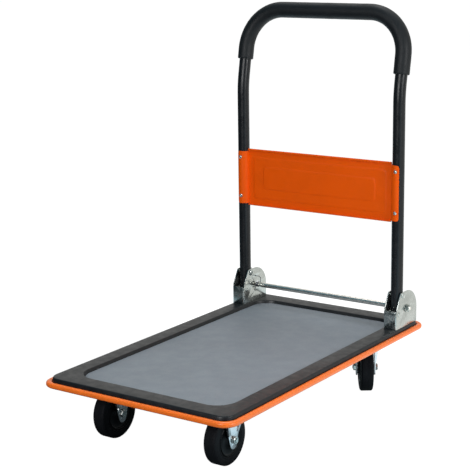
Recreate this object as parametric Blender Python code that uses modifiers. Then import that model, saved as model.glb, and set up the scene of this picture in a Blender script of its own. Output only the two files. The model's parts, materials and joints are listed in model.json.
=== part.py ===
"""Folding platform cart.

A pressed steel deck with a glued-in mat and a soft edge bumper stands on two rigid and two
swivel casters. A bent tube handle with a back panel and a grip folds down over the deck
between two hinge brackets, which a sprung foot rod joins.

Axes: +X is to the cart's right, +Y points along the deck to the handle, +Z is up. The origin
is on the floor under the middle of the deck. Units are metres.
"""
import math

import bmesh
import bpy
from mathutils import Matrix, Vector

# Clearance kept between neighbouring pieces.
GAP = 0.0003

# Deck.
DECK_HALF_WIDTH = 0.2082
DECK_HALF_LENGTH = 0.3628
DECK_TOP = 0.1350
DECK_SHEET = 0.0016
DECK_CORNER = 0.0245
SKIRT_BOTTOM = 0.1190
SKIRT_FLARE = 0.0014
BORDER_SIDE = 0.0355
BORDER_FRONT = 0.0388
BORDER_REAR = 0.0412
RECESS_CORNER = 0.040
RECESS_SLOPE = 0.0024
RECESS_FLOOR = 0.1260
MAT_THICKNESS = 0.0025
CORNER_STEPS = 6

# Ribs under the deck.
RIB_HALF_LENGTH = 0.165
RIB_DEPTH = 0.0141
RIB_SHEET = 0.0015
RIB_PLACES = {"front": -0.145, "middle": 0.0, "rear": 0.145}

# Wheels and casters.
WHEEL_RADIUS = 0.0505
HUB_RADIUS = 0.0333
HUB_HALF_WIDTH = 0.0165
CASTER_X = 0.130
FRONT_CASTER_Y = -0.2622
REAR_CASTER_Y = 0.2604
CASTER_TRAIL = 0.0276
REST_SWIVEL = math.radians(34.6)
CASTER_PLATE_TOP = RECESS_FLOOR - DECK_SHEET - GAP
CASTER_PLATE = 0.0025
CASTER_PLATE_SIZE = (0.084, 0.104)
LEG_INSIDE = 0.0178
LEG_SHEET = 0.0025
LEG_FLANGE = 0.0080
LEG_TIP_RADIUS = 0.0105
LEG_TIP_Z = 0.0433
AXLE_RADIUS = 0.0040
CROWN_TOP = 0.1119
CROWN_SHEET = 0.0027
KINGPIN_RADIUS = 0.0057

# Handle.
TUBE_RADIUS = 0.01275
TUBE_WALL = 0.0016
TUBE_X = 0.1923
TUBE_Y = 0.2863
TUBE_END_Z = 0.1760
BEND_Z = 0.605
BEND_RADIUS = 0.25
BEND_ANGLE = math.radians(10.5)
HANDLE_TOP_Z = 0.789
HANDLE_CORNER = 0.085
TUBE_SIDES = 16
GRIP_RADIUS = 0.0171
GRIP_END_LEFT_Z = 0.682
GRIP_END_RIGHT_Z = 0.666

# Back panel.
PANEL_SHEET = 0.0012
PANEL_TOP = 0.4865
PANEL_BOTTOM = 0.3595
PANEL_WRAP = math.radians(33)
FLANGE_TOP = 0.4810
FLANGE_BOTTOM = 0.3640
HEM_RADIUS = 0.0024
EMBOSS = 0.0008
SCREW_HEIGHTS = {"top": 0.4680, "bottom": 0.3810}

# Hinge brackets and the foot rod between them.
PIVOT_Z = 0.2035
BRACKET_SHEET = 0.0020
BRACKET_HALF_WIDTH = 0.0151
BRACKET_FRONT = 0.2563
BRACKET_REAR = 0.3483
BRACKET_BOTTOM = DECK_TOP + GAP
FRONT_WALL_TOP = 0.1740
STOP_PIN_Y = 0.2681
STOP_PIN_Z = 0.1670
ROD_Y = 0.3034
ROD_Z = 0.1733
ROD_RADIUS = 0.0055
ROD_HALF_LENGTH = 0.162
ROD_TRAVEL = 0.012
SHANK_RADIUS = 0.0040
SLOT_FRONT = 0.2948
SPRING_HOLES = ((0.3048, 0.1919), (0.3043, 0.1580))
SPRING_HOLE_RADIUS = 0.0016
SPRING_WIRE = 0.0008
RIVET_PLACES = {"front": 0.2748, "rear": 0.3368}
RIVET_RADIUS = 0.0028

SIDES = {"left": -1, "right": 1}

# Turns local Z to world X, with local X along world Y and local Y along world Z.
ALONG_X = Matrix(((0, 0, 1, 0), (1, 0, 0, 0), (0, 1, 0, 0), (0, 0, 0, 1)))
# Turns local Z to world -Y, with local X along world X and local Y along world Z.
ALONG_MINUS_Y = Matrix(((1, 0, 0, 0), (0, 0, -1, 0), (0, 1, 0, 0), (0, 0, 0, 1)))


def clear_scene():
    for item in list(bpy.data.objects):
        bpy.data.objects.remove(item, do_unlink=True)


def make_collection(name):
    collection = bpy.data.collections.new(name)
    bpy.context.scene.collection.children.link(collection)
    return collection


def linear(red, green, blue):
    """Linear colour of an sRGB colour given in 0 to 255."""
    channels = []
    for value in (red, green, blue):
        value = value / 255
        channels.append(value / 12.92 if value <= 0.04045 else ((value + 0.055) / 1.055) ** 2.4)
    return (*channels, 1.0)


clear_scene()
PARTS = make_collection("folding_platform_cart")
CUTTERS = make_collection("cutters")

FINISHES = {
    "black_steel": (linear(46, 47, 49), 0.45, 0.6),
    "black_tube": (linear(40, 42, 44), 0.40, 0.5),
    "orange_bumper": (linear(247, 118, 45), 0.45, 0.0),
    "orange_paint": (linear(214, 76, 6), 0.35, 0.1),
    "grey_mat": (linear(134, 139, 145), 0.85, 0.0),
    "black_foam": (linear(42, 44, 47), 0.75, 0.0),
    "zinc": (linear(196, 200, 200), 0.30, 1.0),
    "black_plastic": (linear(22, 24, 26), 0.50, 0.0),
    "black_rubber": (linear(18, 19, 21), 0.65, 0.0),
    "spring_steel": (linear(120, 124, 128), 0.30, 1.0),
}


def make_material(name, finish):
    colour, roughness, metallic = FINISHES[finish]
    material = bpy.data.materials.new(name)
    material.use_nodes = True
    shader = material.node_tree.nodes["Principled BSDF"]
    shader.inputs["Base Color"].default_value = colour
    shader.inputs["Roughness"].default_value = roughness
    shader.inputs["Metallic"].default_value = metallic
    return material


def add_part(name, mesh, finish, matrix=Matrix(), smooth_angle=35):
    """One sub-part, as an object of its own in the parts collection."""
    part = bpy.data.objects.new(name, mesh)
    part.matrix_world = matrix
    PARTS.objects.link(part)
    mesh.materials.clear()
    mesh.materials.append(make_material(name, finish))
    mesh.shade_smooth()
    mesh.set_sharp_from_angle(angle=math.radians(smooth_angle))
    return part


def add_cutter(name, mesh, matrix=Matrix()):
    """A guide solid that a Boolean modifier reads. It isn't a sub-part."""
    cutter = bpy.data.objects.new(name, mesh)
    cutter.matrix_world = matrix
    cutter.display_type = "WIRE"
    cutter.hide_render = True
    CUTTERS.objects.link(cutter)
    return cutter


def add_boolean(part, cutter, operation):
    modifier = part.modifiers.new(cutter.name, "BOOLEAN")
    modifier.operation = operation
    modifier.solver = "EXACT"
    modifier.object = cutter
    return modifier


def mesh_from_curve(curve):
    """The welded mesh of a curve, whose caps are loose from its sides."""
    guide = bpy.data.objects.new(curve.name, curve)
    CUTTERS.objects.link(guide)
    depsgraph = bpy.context.evaluated_depsgraph_get()
    mesh = bpy.data.meshes.new_from_object(guide.evaluated_get(depsgraph))
    bpy.data.objects.remove(guide, do_unlink=True)
    shape = bmesh.new()
    shape.from_mesh(mesh)
    bmesh.ops.remove_doubles(shape, verts=shape.verts, dist=0.00001)
    bmesh.ops.recalc_face_normals(shape, faces=shape.faces)
    shape.to_mesh(mesh)
    shape.free()
    return mesh


def arc(centre, radius, start, end, steps):
    """Points along an arc, with its angles in degrees."""
    points = []
    for step in range(steps + 1):
        angle = math.radians(start + (end - start) * step / steps)
        x = centre[0] + radius * math.cos(angle)
        points.append((x, centre[1] + radius * math.sin(angle)))
    return points


def circle(centre, radius, steps=14):
    return arc(centre, radius, 0, 360, steps)[:-1]


def rounded_rectangle(x_low, x_high, y_low, y_high, radius, steps=CORNER_STEPS):
    """Anticlockwise outline, from the middle of the corner at high X and low Y."""
    points = []
    points += arc((x_high - radius, y_low + radius), radius, -90, 0, steps)
    points += arc((x_high - radius, y_high - radius), radius, 0, 90, steps)
    points += arc((x_low + radius, y_high - radius), radius, 90, 180, steps)
    points += arc((x_low + radius, y_low + radius), radius, 180, 270, steps)
    return points


def slot_outline(y_low, y_high, z, half_height, steps=5):
    points = arc((y_low + half_height, z), half_height, 90, 270, steps)
    points += arc((y_high - half_height, z), half_height, -90, 90, steps)
    return points


def flat_mesh(name, outline, thickness, holes=()):
    """A flat outline with its holes, thickened evenly to both sides of local Z = 0."""
    curve = bpy.data.curves.new(name, "CURVE")
    curve.dimensions = "2D"
    curve.fill_mode = "BOTH"
    curve.extrude = thickness / 2
    for points in (outline, *holes):
        spline = curve.splines.new("POLY")
        spline.points.add(len(points) - 1)
        for point, (x, y) in zip(spline.points, points):
            point.co = (x, y, 0, 1)
        spline.use_cyclic_u = True
    return mesh_from_curve(curve)


def tube_mesh(name, points, radius, sides, closed_ends=True):
    """A round tube or wire along the points."""
    curve = bpy.data.curves.new(name, "CURVE")
    curve.dimensions = "3D"
    curve.bevel_depth = radius
    curve.bevel_resolution = sides // 2 - 2
    curve.use_fill_caps = closed_ends
    spline = curve.splines.new("POLY")
    spline.points.add(len(points) - 1)
    for point, place in zip(spline.points, points):
        point.co = (*place, 1)
    return mesh_from_curve(curve)


def profile_mesh(name, profile, closed):
    """Vertices and edges of a turned piece's profile: (radius, height) pairs, top to bottom."""
    shape = bmesh.new()
    corners = [shape.verts.new((radius, 0, height)) for radius, height in profile]
    for first, second in zip(corners, corners[1:]):
        shape.edges.new((first, second))
    if closed:
        shape.edges.new((corners[-1], corners[0]))
    mesh = bpy.data.meshes.new(name)
    shape.to_mesh(mesh)
    shape.free()
    return mesh


def add_turning(item, steps):
    modifier = item.modifiers.new("turn", "SCREW")
    modifier.axis = "Z"
    modifier.steps = steps
    modifier.render_steps = steps
    modifier.use_merge_vertices = True
    modifier.merge_threshold = 0.00001
    modifier.use_smooth_shade = True
    return modifier


def turned_mesh(name, profile, steps, closed=False):
    """The mesh of a profile turned about local Z."""
    guide = bpy.data.objects.new(name, profile_mesh(name, profile, closed))
    CUTTERS.objects.link(guide)
    add_turning(guide, steps)
    depsgraph = bpy.context.evaluated_depsgraph_get()
    mesh = bpy.data.meshes.new_from_object(guide.evaluated_get(depsgraph))
    bpy.data.objects.remove(guide, do_unlink=True)
    return mesh


def rod_mesh(name, radius, length, steps=20):
    """A plain cylinder about local Z."""
    shape = bmesh.new()
    bmesh.ops.create_cone(
        shape, cap_ends=True, segments=steps, radius1=radius, radius2=radius, depth=length
    )
    mesh = bpy.data.meshes.new(name)
    shape.to_mesh(mesh)
    shape.free()
    return mesh


def loft_mesh(name, loops, wrap=False, fill_last=False):
    """A skin over a stack of outlines that have the same number of points."""
    shape = bmesh.new()
    rows = [[shape.verts.new(place) for place in loop] for loop in loops]
    pairs = list(zip(rows, rows[1:]))
    if wrap:
        pairs.append((rows[-1], rows[0]))
    for lower, upper in pairs:
        count = len(lower)
        for index in range(count):
            after = (index + 1) % count
            shape.faces.new((lower[index], lower[after], upper[after], upper[index]))
    if fill_last:
        shape.faces.new(rows[-1])
    mesh = bpy.data.meshes.new(name)
    shape.to_mesh(mesh)
    shape.free()
    return mesh


def joint_empty(name, place):
    """An empty on a joint's axis. The pieces that move with the joint are its children."""
    empty = bpy.data.objects.new(name, None)
    empty.matrix_world = Matrix.Translation(place)
    PARTS.objects.link(empty)
    return empty


def attach(parts, empty):
    for part in parts:
        part.parent = empty
        part.matrix_parent_inverse = empty.matrix_world.inverted()


# ---------------------------------------------------------------- deck


def deck_loop(grow, z, corner=None):
    """Outline of the deck's outer edge, grown outwards, at a height."""
    half_x = DECK_HALF_WIDTH + grow
    half_y = DECK_HALF_LENGTH + grow
    radius = DECK_CORNER + grow if corner is None else corner
    outline = rounded_rectangle(-half_x, half_x, -half_y, half_y, radius)
    return [(x, y, z) for x, y in outline]


def recess_outline(inset):
    """Outline of the mat's recess, shrunk inwards."""
    half_x = DECK_HALF_WIDTH - BORDER_SIDE - inset
    y_low = -DECK_HALF_LENGTH + BORDER_FRONT + inset
    y_high = DECK_HALF_LENGTH - BORDER_REAR - inset
    return rounded_rectangle(-half_x, half_x, y_low, y_high, RECESS_CORNER - inset)


def make_deck_plate():
    """Open pressed skin: skirt, raised border, recess floor. Solidify gives it its sheet."""
    loops = [
        deck_loop(SKIRT_FLARE, SKIRT_BOTTOM),
        deck_loop(0.0008, 0.1310),
        deck_loop(0.0002, 0.1334),
        deck_loop(-0.0010, 0.1346),
        deck_loop(-0.0028, DECK_TOP),
    ]
    for inset, z in ((-0.0012, DECK_TOP), (0.0, 0.1345), (RECESS_SLOPE, RECESS_FLOOR)):
        loops.append([(x, y, z) for x, y in recess_outline(inset)])
    mesh = loft_mesh("deck_plate", loops, fill_last=True)
    plate = add_part("deck_plate", mesh, "black_steel")
    sheet = plate.modifiers.new("sheet", "SOLIDIFY")
    sheet.thickness = DECK_SHEET
    sheet.offset = -1
    sheet.use_even_offset = True
    for side, sign in SIDES.items():
        for place, y in RIVET_PLACES.items():
            hole = add_cutter(
                f"deck_hole_{side}_{place}",
                rod_mesh("deck_hole", RIVET_RADIUS + GAP, 0.02, 12),
                Matrix.Translation((sign * TUBE_X, y, DECK_TOP)),
            )
            add_boolean(plate, hole, "DIFFERENCE")
    return plate


def make_edge_bumper():
    """Soft strip that grips the deck's skirt: (distance out from the deck's edge, height).

    It is a little thicker round the deck's corners than along its sides.
    """
    profile = [
        (SKIRT_FLARE + GAP, 0.1187),
        (SKIRT_FLARE + GAP, 0.1268),
        (0.0042, 0.1277),
        (0.0078, 0.1272),
        (0.0098, 0.1250),
        (0.0103, 0.1222),
        (0.0098, 0.1193),
        (0.0078, 0.1170),
        (0.0050, 0.1164),
        (-0.0026, 0.1164),
        (-0.0042, 0.1180),
        (-0.0042, 0.1242),
        (-0.0026, 0.1242),
        (-0.0024, 0.1187),
    ]
    loops = [deck_loop(grow, z, DECK_CORNER + 0.3 * grow) for grow, z in profile]
    mesh = loft_mesh("edge_bumper", loops, wrap=True)
    shape = bmesh.new()
    shape.from_mesh(mesh)
    bmesh.ops.recalc_face_normals(shape, faces=shape.faces)
    shape.to_mesh(mesh)
    shape.free()
    return add_part("edge_bumper", mesh, "orange_bumper", smooth_angle=50)


def make_deck_mat():
    outline = recess_outline(RECESS_SLOPE + 0.0006)
    mesh = flat_mesh("deck_mat", outline, MAT_THICKNESS)
    middle = RECESS_FLOOR + GAP + MAT_THICKNESS / 2
    return add_part("deck_mat", mesh, "grey_mat", Matrix.Translation((0, 0, middle)))


def make_cross_rib(place, y):
    """Hat section across the deck's underside, open to the deck at both ends."""
    top = RECESS_FLOOR - DECK_SHEET - GAP
    foot = top - RIB_DEPTH
    half = [
        (0.0, foot),
        (0.0165, foot),
        (0.0190, top - RIB_SHEET),
        (0.0320, top - RIB_SHEET),
        (0.0320, top),
        (0.0178, top),
        (0.0153, foot + RIB_SHEET),
        (0.0, foot + RIB_SHEET),
    ]
    mirrored = [(-across, z) for across, z in reversed(half[1:-1])]
    outline = half[1:-1] + mirrored
    name = f"cross_rib_{place}"
    mesh = flat_mesh(name, outline, 2 * RIB_HALF_LENGTH)
    return add_part(name, mesh, "black_steel", Matrix.Translation((0, y, 0)) @ ALONG_X)


# ---------------------------------------------------------------- handle


def handle_path(end_left, end_right):
    """Centre line of the handle's tube, from an end on the left leg to one on the right."""
    tilt_y = math.sin(BEND_ANGLE)
    tilt_z = math.cos(BEND_ANGLE)
    bend_end_y = TUBE_Y + BEND_RADIUS * (1 - tilt_z)
    bend_end_z = BEND_Z + BEND_RADIUS * tilt_y
    length = (HANDLE_TOP_Z - bend_end_z) / tilt_z

    def tilted(x, along):
        return (x, bend_end_y + along * tilt_y, bend_end_z + along * tilt_z)

    def leg(sign, end_z):
        if end_z > bend_end_z:
            points = [tilted(sign * TUBE_X, (end_z - bend_end_z) / tilt_z)]
        else:
            points = [(sign * TUBE_X, TUBE_Y, end_z)]
            for y, z in arc((TUBE_Y + BEND_RADIUS, BEND_Z), BEND_RADIUS, 180, 169.5, 3):
                points.append((sign * TUBE_X, y, z))
        corner = (TUBE_X - HANDLE_CORNER, length - HANDLE_CORNER)
        for x, along in arc(corner, HANDLE_CORNER, 0, 90, 6):
            points.append(tilted(sign * x, along))
        return points

    return leg(-1, end_left) + leg(1, end_right)[::-1]


def make_handle_tube():
    path = handle_path(TUBE_END_Z, TUBE_END_Z)
    mesh = tube_mesh("handle_tube", path, TUBE_RADIUS, TUBE_SIDES, closed_ends=False)
    tube = add_part("handle_tube", mesh, "black_tube")
    wall = tube.modifiers.new("wall", "SOLIDIFY")
    wall.thickness = TUBE_WALL
    wall.offset = -1
    for side, sign in SIDES.items():
        pin_hole = add_cutter(
            f"tube_pin_hole_{side}",
            rod_mesh("tube_pin_hole", SHANK_RADIUS + GAP, 0.04),
            Matrix.Translation((sign * TUBE_X, TUBE_Y, PIVOT_Z)) @ ALONG_X,
        )
        add_boolean(tube, pin_hole, "DIFFERENCE")
        for place, z in SCREW_HEIGHTS.items():
            screw_hole = add_cutter(
                f"tube_screw_hole_{side}_{place}",
                rod_mesh("tube_screw_hole", 0.0022, 0.02, 10),
                Matrix.Translation((sign * TUBE_X, TUBE_Y - TUBE_RADIUS, z)) @ ALONG_MINUS_Y,
            )
            add_boolean(tube, screw_hole, "DIFFERENCE")
    return tube


def make_handle_grip():
    """Sleeve over the handle's cross bar and both of its corners."""
    path = handle_path(GRIP_END_LEFT_Z, GRIP_END_RIGHT_Z)
    mesh = tube_mesh("handle_grip", path, GRIP_RADIUS, TUBE_SIDES)
    grip = add_part("handle_grip", mesh, "black_foam")
    bore_path = handle_path(GRIP_END_LEFT_Z - 0.02, GRIP_END_RIGHT_Z - 0.01)
    bore = add_cutter(
        "grip_bore", tube_mesh("grip_bore", bore_path, TUBE_RADIUS + GAP, TUBE_SIDES)
    )
    add_boolean(grip, bore, "DIFFERENCE")
    return grip


def ribbon_outline(path, thickness):
    """Outline of a bent strip of even thickness, drawn along its middle line."""
    left, right = [], []
    last = len(path) - 1
    for index, place in enumerate(path):
        before = Vector(path[max(index - 1, 0)])
        after = Vector(path[min(index + 1, last)])
        here = Vector(place)
        into = (here - before).normalized() if index else (after - here).normalized()
        out = (after - here).normalized() if index < last else into
        normal_in = Vector((-into.y, into.x))
        normal_out = Vector((-out.y, out.x))
        miter = (normal_in + normal_out).normalized()
        reach = thickness / 2 / max(miter.dot(normal_in), 0.4)
        left.append(tuple(here + miter * reach))
        right.append(tuple(here - miter * reach))
    return left + right[::-1]


def panel_path():
    """Plan of the back panel's sheet, from its left end to its right end."""
    radius = TUBE_RADIUS + GAP + PANEL_SHEET / 2
    start_angle = 180 + math.degrees(math.asin(0.002 / radius))
    end_angle = 270 + math.degrees(PANEL_WRAP)
    wrap = arc((TUBE_X, TUBE_Y), radius, start_angle, end_angle, 12)
    right = [(TUBE_X - radius - 0.0020, TUBE_Y), (TUBE_X - radius - 0.0006, TUBE_Y - 0.0006)]
    right += wrap
    left = [(-x, y) for x, y in reversed(right)]
    return left + right


def panel_trim_outline():
    """Front view of the panel: tall between the tubes, shorter and rounded over them."""
    inner_x = TUBE_X - TUBE_RADIUS - 0.0020
    outer_x = TUBE_X + TUBE_RADIUS * math.sin(PANEL_WRAP) + 0.0014
    corner = 0.0045
    right = [(inner_x, PANEL_BOTTOM - 0.01), (inner_x, FLANGE_BOTTOM)]
    right += arc((outer_x - corner, FLANGE_BOTTOM + corner), corner, -90, 0, 4)
    right += arc((outer_x - corner, FLANGE_TOP - corner), corner, 0, 90, 4)
    right += [(inner_x, FLANGE_TOP), (inner_x, PANEL_TOP + 0.01)]
    left = [(-x, z) for x, z in reversed(right)]
    return right + left


def make_back_panel():
    height = PANEL_TOP - PANEL_BOTTOM
    middle = (PANEL_TOP + PANEL_BOTTOM) / 2
    sheet = flat_mesh("back_panel", ribbon_outline(panel_path(), PANEL_SHEET), height)
    panel = add_part("back_panel", sheet, "orange_paint", Matrix.Translation((0, 0, middle)))
    front_face = TUBE_Y - PANEL_SHEET / 2

    frame = rounded_rectangle(-0.3, 0.3, PANEL_BOTTOM - 0.05, PANEL_TOP + 0.05, 0.01, 1)
    trim = add_cutter(
        "panel_trim",
        flat_mesh("panel_trim", frame, 0.10, (panel_trim_outline(),)),
        Matrix.Translation((0, TUBE_Y, 0)) @ ALONG_MINUS_Y,
    )
    add_boolean(panel, trim, "DIFFERENCE")

    hem_length = 2 * (TUBE_X - TUBE_RADIUS - 0.0032)
    for edge, z in (("top", PANEL_TOP - 0.0012), ("bottom", PANEL_BOTTOM + 0.0012)):
        hem = add_cutter(
            f"panel_hem_{edge}",
            rod_mesh("panel_hem", HEM_RADIUS, hem_length, 12),
            Matrix.Translation((0, front_face - 0.0008, z)) @ ALONG_X,
        )
        add_boolean(panel, hem, "UNION")

    fields = (
        ("outer", 0.165, 0.3770, 0.4680, 0.008, EMBOSS),
        ("inner", 0.139, 0.3990, 0.4478, 0.006, 2 * EMBOSS),
    )
    for name, half_x, z_low, z_high, corner, rise in fields:
        outline = rounded_rectangle(-half_x, half_x, z_low, z_high, corner, 3)
        field = add_cutter(
            f"panel_field_{name}",
            flat_mesh("panel_field", outline, rise + 0.0003),
            Matrix.Translation((0, front_face - (rise - 0.0003) / 2, 0)) @ ALONG_MINUS_Y,
        )
        add_boolean(panel, field, "UNION")

    for side, sign in SIDES.items():
        for place, z in SCREW_HEIGHTS.items():
            hole = add_cutter(
                f"panel_screw_hole_{side}_{place}",
                rod_mesh("panel_screw_hole", 0.0022, 0.01, 10),
                Matrix.Translation((sign * TUBE_X, TUBE_Y - TUBE_RADIUS, z)) @ ALONG_MINUS_Y,
            )
            add_boolean(panel, hole, "DIFFERENCE")
    return panel


def make_panel_screw(side, sign, place, z):
    profile = [
        (0.0, 0.0023),
        (0.0018, 0.0021),
        (0.0033, 0.0013),
        (0.0040, 0.0),
        (0.0019, 0.0),
        (0.0019, -0.0075),
        (0.0, -0.0085),
    ]
    seat = TUBE_Y - TUBE_RADIUS - PANEL_SHEET - 2 * GAP
    name = f"panel_screw_{side}_{place}"
    mesh = turned_mesh(name, profile, 10)
    return add_part(name, mesh, "zinc", Matrix.Translation((sign * TUBE_X, seat, z)) @ ALONG_MINUS_Y)


# ---------------------------------------------------------------- hinges


def side_plate_outline():
    """Side view of a bracket's side plate, as (Y, Z)."""
    front = BRACKET_FRONT + 0.0030
    slope_start = (front, FRONT_WALL_TOP + 0.0056)
    crown_centre = (0.3038, 0.1665)
    crown_radius = BRACKET_REAR - crown_centre[0]
    points = [(front, BRACKET_BOTTOM), (BRACKET_REAR, BRACKET_BOTTOM)]
    points += arc(crown_centre, crown_radius, 0, 90, 9)
    points += arc((0.2796, 0.2060), 0.0050, 90, 150, 4)
    points.append(slope_start)
    return points


def make_hinge_bracket(side, sign):
    """Folded channel: base, low front wall and two tall side plates with the rod's slots."""
    name = f"hinge_bracket_{side}"
    half = BRACKET_HALF_WIDTH
    inner = half - BRACKET_SHEET
    bend = 0.0030
    front = BRACKET_FRONT
    wall_end = front + 0.0070

    wall = [(half, wall_end), (inner, wall_end)]
    wall += arc((inner - 0.0012, front + bend + 0.0002), 0.0012, 0, -90, 3)
    wall += [(-x, y) for x, y in reversed(wall[2:])]
    wall += [(-inner, wall_end), (-half, wall_end)]
    wall += arc((-half + bend, front + bend), bend, 180, 270, 4)
    wall += arc((half - bend, front + bend), bend, 270, 360, 4)
    wall_height = FRONT_WALL_TOP - BRACKET_BOTTOM
    bracket = add_part(
        name,
        flat_mesh(name, wall, wall_height),
        "zinc",
        Matrix.Translation((sign * TUBE_X, 0, BRACKET_BOTTOM + wall_height / 2)),
    )

    floor = [(-half + 0.0004, front + 0.0010), (half - 0.0004, front + 0.0010)]
    floor += [(half - 0.0004, BRACKET_REAR - 0.0008), (-half + 0.0004, BRACKET_REAR - 0.0008)]
    rivet_holes = [circle((0, y), RIVET_RADIUS + GAP, 12) for y in RIVET_PLACES.values()]
    base = add_cutter(
        f"{name}_base",
        flat_mesh("bracket_base", floor, BRACKET_SHEET, rivet_holes),
        Matrix.Translation((sign * TUBE_X, 0, BRACKET_BOTTOM + BRACKET_SHEET / 2)),
    )
    add_boolean(bracket, base, "UNION")

    slot_rear = ROD_Y + ROD_TRAVEL + SHANK_RADIUS + 2 * GAP
    for face, direction in (("inner", -sign), ("outer", sign)):
        holes = [
            circle((TUBE_Y, PIVOT_Z), SHANK_RADIUS + GAP),
            circle((STOP_PIN_Y, STOP_PIN_Z), 0.0030 + GAP, 12),
            slot_outline(SLOT_FRONT, slot_rear, ROD_Z, SHANK_RADIUS + GAP),
        ]
        if face == "inner":
            holes += [circle(place, SPRING_HOLE_RADIUS, 8) for place in SPRING_HOLES]
        middle = sign * TUBE_X + direction * (half - BRACKET_SHEET / 2)
        plate = add_cutter(
            f"{name}_{face}_plate",
            flat_mesh("side_plate", side_plate_outline(), BRACKET_SHEET, holes),
            Matrix.Translation((middle, 0, 0)) @ ALONG_X,
        )
        add_boolean(bracket, plate, "UNION")
    return bracket


def pin_matrix(side_sign, y, z):
    """Local Z of a bracket's pin points to the middle of the cart."""
    turn = ALONG_X if side_sign < 0 else ALONG_X @ Matrix.Rotation(math.pi, 4, "X")
    return Matrix.Translation((side_sign * TUBE_X, y, z)) @ turn


def make_pivot_pin(side, sign):
    """Domed rivet that the handle's leg turns on."""
    seat = BRACKET_HALF_WIDTH + GAP
    profile = [
        (0.0, seat + 0.0048),
        (0.0034, seat + 0.0043),
        (0.0060, seat + 0.0028),
        (0.0075, seat),
        (SHANK_RADIUS, seat),
        (SHANK_RADIUS, -seat),
        (0.0056, -seat),
        (0.0050, -seat - 0.0014),
        (0.0, -seat - 0.0018),
    ]
    name = f"pivot_pin_{side}"
    return add_part(name, turned_mesh(name, profile, 16), "zinc", pin_matrix(sign, TUBE_Y, PIVOT_Z))


def make_stop_pin(side, sign):
    """Rivet with a thick middle, across the bracket in front of the tube's end."""
    seat = BRACKET_HALF_WIDTH + GAP
    inside = BRACKET_HALF_WIDTH - BRACKET_SHEET - GAP
    half = [(0.0, seat + 0.0018), (0.0034, seat + 0.0014), (0.0048, seat)]
    half += [(0.0030, seat), (0.0030, inside), (0.0050, inside)]
    profile = half + [(radius, -height) for radius, height in reversed(half)]
    name = f"stop_pin_{side}"
    matrix = pin_matrix(sign, STOP_PIN_Y, STOP_PIN_Z)
    return add_part(name, turned_mesh(name, profile, 12), "zinc", matrix)


def make_bracket_rivet(side, sign, place, y):
    """Rivet through the bracket's base and the deck's border."""
    head = BRACKET_BOTTOM + BRACKET_SHEET + GAP
    tail = DECK_TOP - DECK_SHEET - GAP
    profile = [
        (0.0, head + 0.0026),
        (0.0030, head + 0.0020),
        (0.0055, head),
        (RIVET_RADIUS, head),
        (RIVET_RADIUS, tail),
        (0.0052, tail),
        (0.0045, tail - 0.0018),
        (0.0, tail - 0.0022),
    ]
    name = f"bracket_rivet_{side}_{place}"
    matrix = Matrix.Translation((sign * TUBE_X, y, 0))
    return add_part(name, turned_mesh(name, profile, 12), "zinc", matrix)


NUT_HEIGHT = 0.0055
WASHER_HEIGHT = 0.0012
ROD_WASHER_FACE = TUBE_X + BRACKET_HALF_WIDTH + GAP
ROD_NUT_FACE = ROD_WASHER_FACE + WASHER_HEIGHT + GAP
ROD_END = ROD_NUT_FACE + NUT_HEIGHT + 0.0010


def make_release_rod():
    half = [(0.0, ROD_END), (0.0034, ROD_END), (SHANK_RADIUS, ROD_END - 0.0008)]
    half += [(SHANK_RADIUS, ROD_HALF_LENGTH), (0.0050, ROD_HALF_LENGTH)]
    half += [(ROD_RADIUS, ROD_HALF_LENGTH - 0.0006)]
    profile = half + [(radius, -height) for radius, height in reversed(half)]
    mesh = turned_mesh("release_rod", profile, 16)
    return add_part("release_rod", mesh, "zinc", Matrix.Translation((0, ROD_Y, ROD_Z)) @ ALONG_X)


def hexagon(across_flats):
    radius = across_flats / 2 / math.cos(math.pi / 6)
    return [(radius * math.cos(k * math.pi / 3), radius * math.sin(k * math.pi / 3)) for k in range(6)]


def nut_mesh(name):
    return flat_mesh(name, hexagon(0.013), NUT_HEIGHT, (circle((0, 0), AXLE_RADIUS + GAP, 16),))


def make_rod_nut(side, sign):
    name = f"rod_nut_{side}"
    middle = ROD_NUT_FACE + NUT_HEIGHT / 2
    matrix = Matrix.Translation((sign * middle, ROD_Y, ROD_Z)) @ ALONG_X
    return add_part(name, nut_mesh(name), "zinc", matrix)


def make_rod_washer(side, sign):
    name = f"rod_washer_{side}"
    ring = circle((0, 0), 0.0085, 20)
    mesh = flat_mesh(name, ring, WASHER_HEIGHT, (circle((0, 0), SHANK_RADIUS + GAP, 16),))
    middle = ROD_WASHER_FACE + WASHER_HEIGHT / 2
    return add_part(name, mesh, "zinc", Matrix.Translation((sign * middle, ROD_Y, ROD_Z)) @ ALONG_X)


def make_rod_spring(side, sign):
    """Coil round the rod's thin end, with a leg hooked into each hole of the inner plate."""
    plate_face = TUBE_X - BRACKET_HALF_WIDTH
    coil_radius = SHANK_RADIUS + 0.0004 + SPRING_WIRE
    turns, steps, pitch = 2.5, 8, 0.0034
    near = plate_face - 0.0020
    (top_y, top_z), (low_y, low_z) = SPRING_HOLES
    points = [(plate_face + 0.0017, low_y, low_z), (near + 0.0004, low_y, low_z)]
    points.append((near, low_y - 0.0012, low_z + 0.0012))
    count = int(turns * steps)
    for step in range(count + 1):
        angle = math.pi + 2 * math.pi * step / steps
        x = near - pitch * step / steps
        y = ROD_Y + coil_radius * math.cos(angle)
        points.append((x, y, ROD_Z + coil_radius * math.sin(angle)))
    far = near - pitch * turns
    points.append((far, ROD_Y + coil_radius + 0.0004, top_z - 0.0040))
    points.append((far + 0.0010, top_y, top_z))
    points.append((plate_face + 0.0017, top_y, top_z))
    name = f"rod_spring_{side}"
    mesh = tube_mesh(name, [(sign * x, y, z) for x, y, z in points], SPRING_WIRE, 6)
    return add_part(name, mesh, "spring_steel", smooth_angle=80)


# ---------------------------------------------------------------- casters


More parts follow.
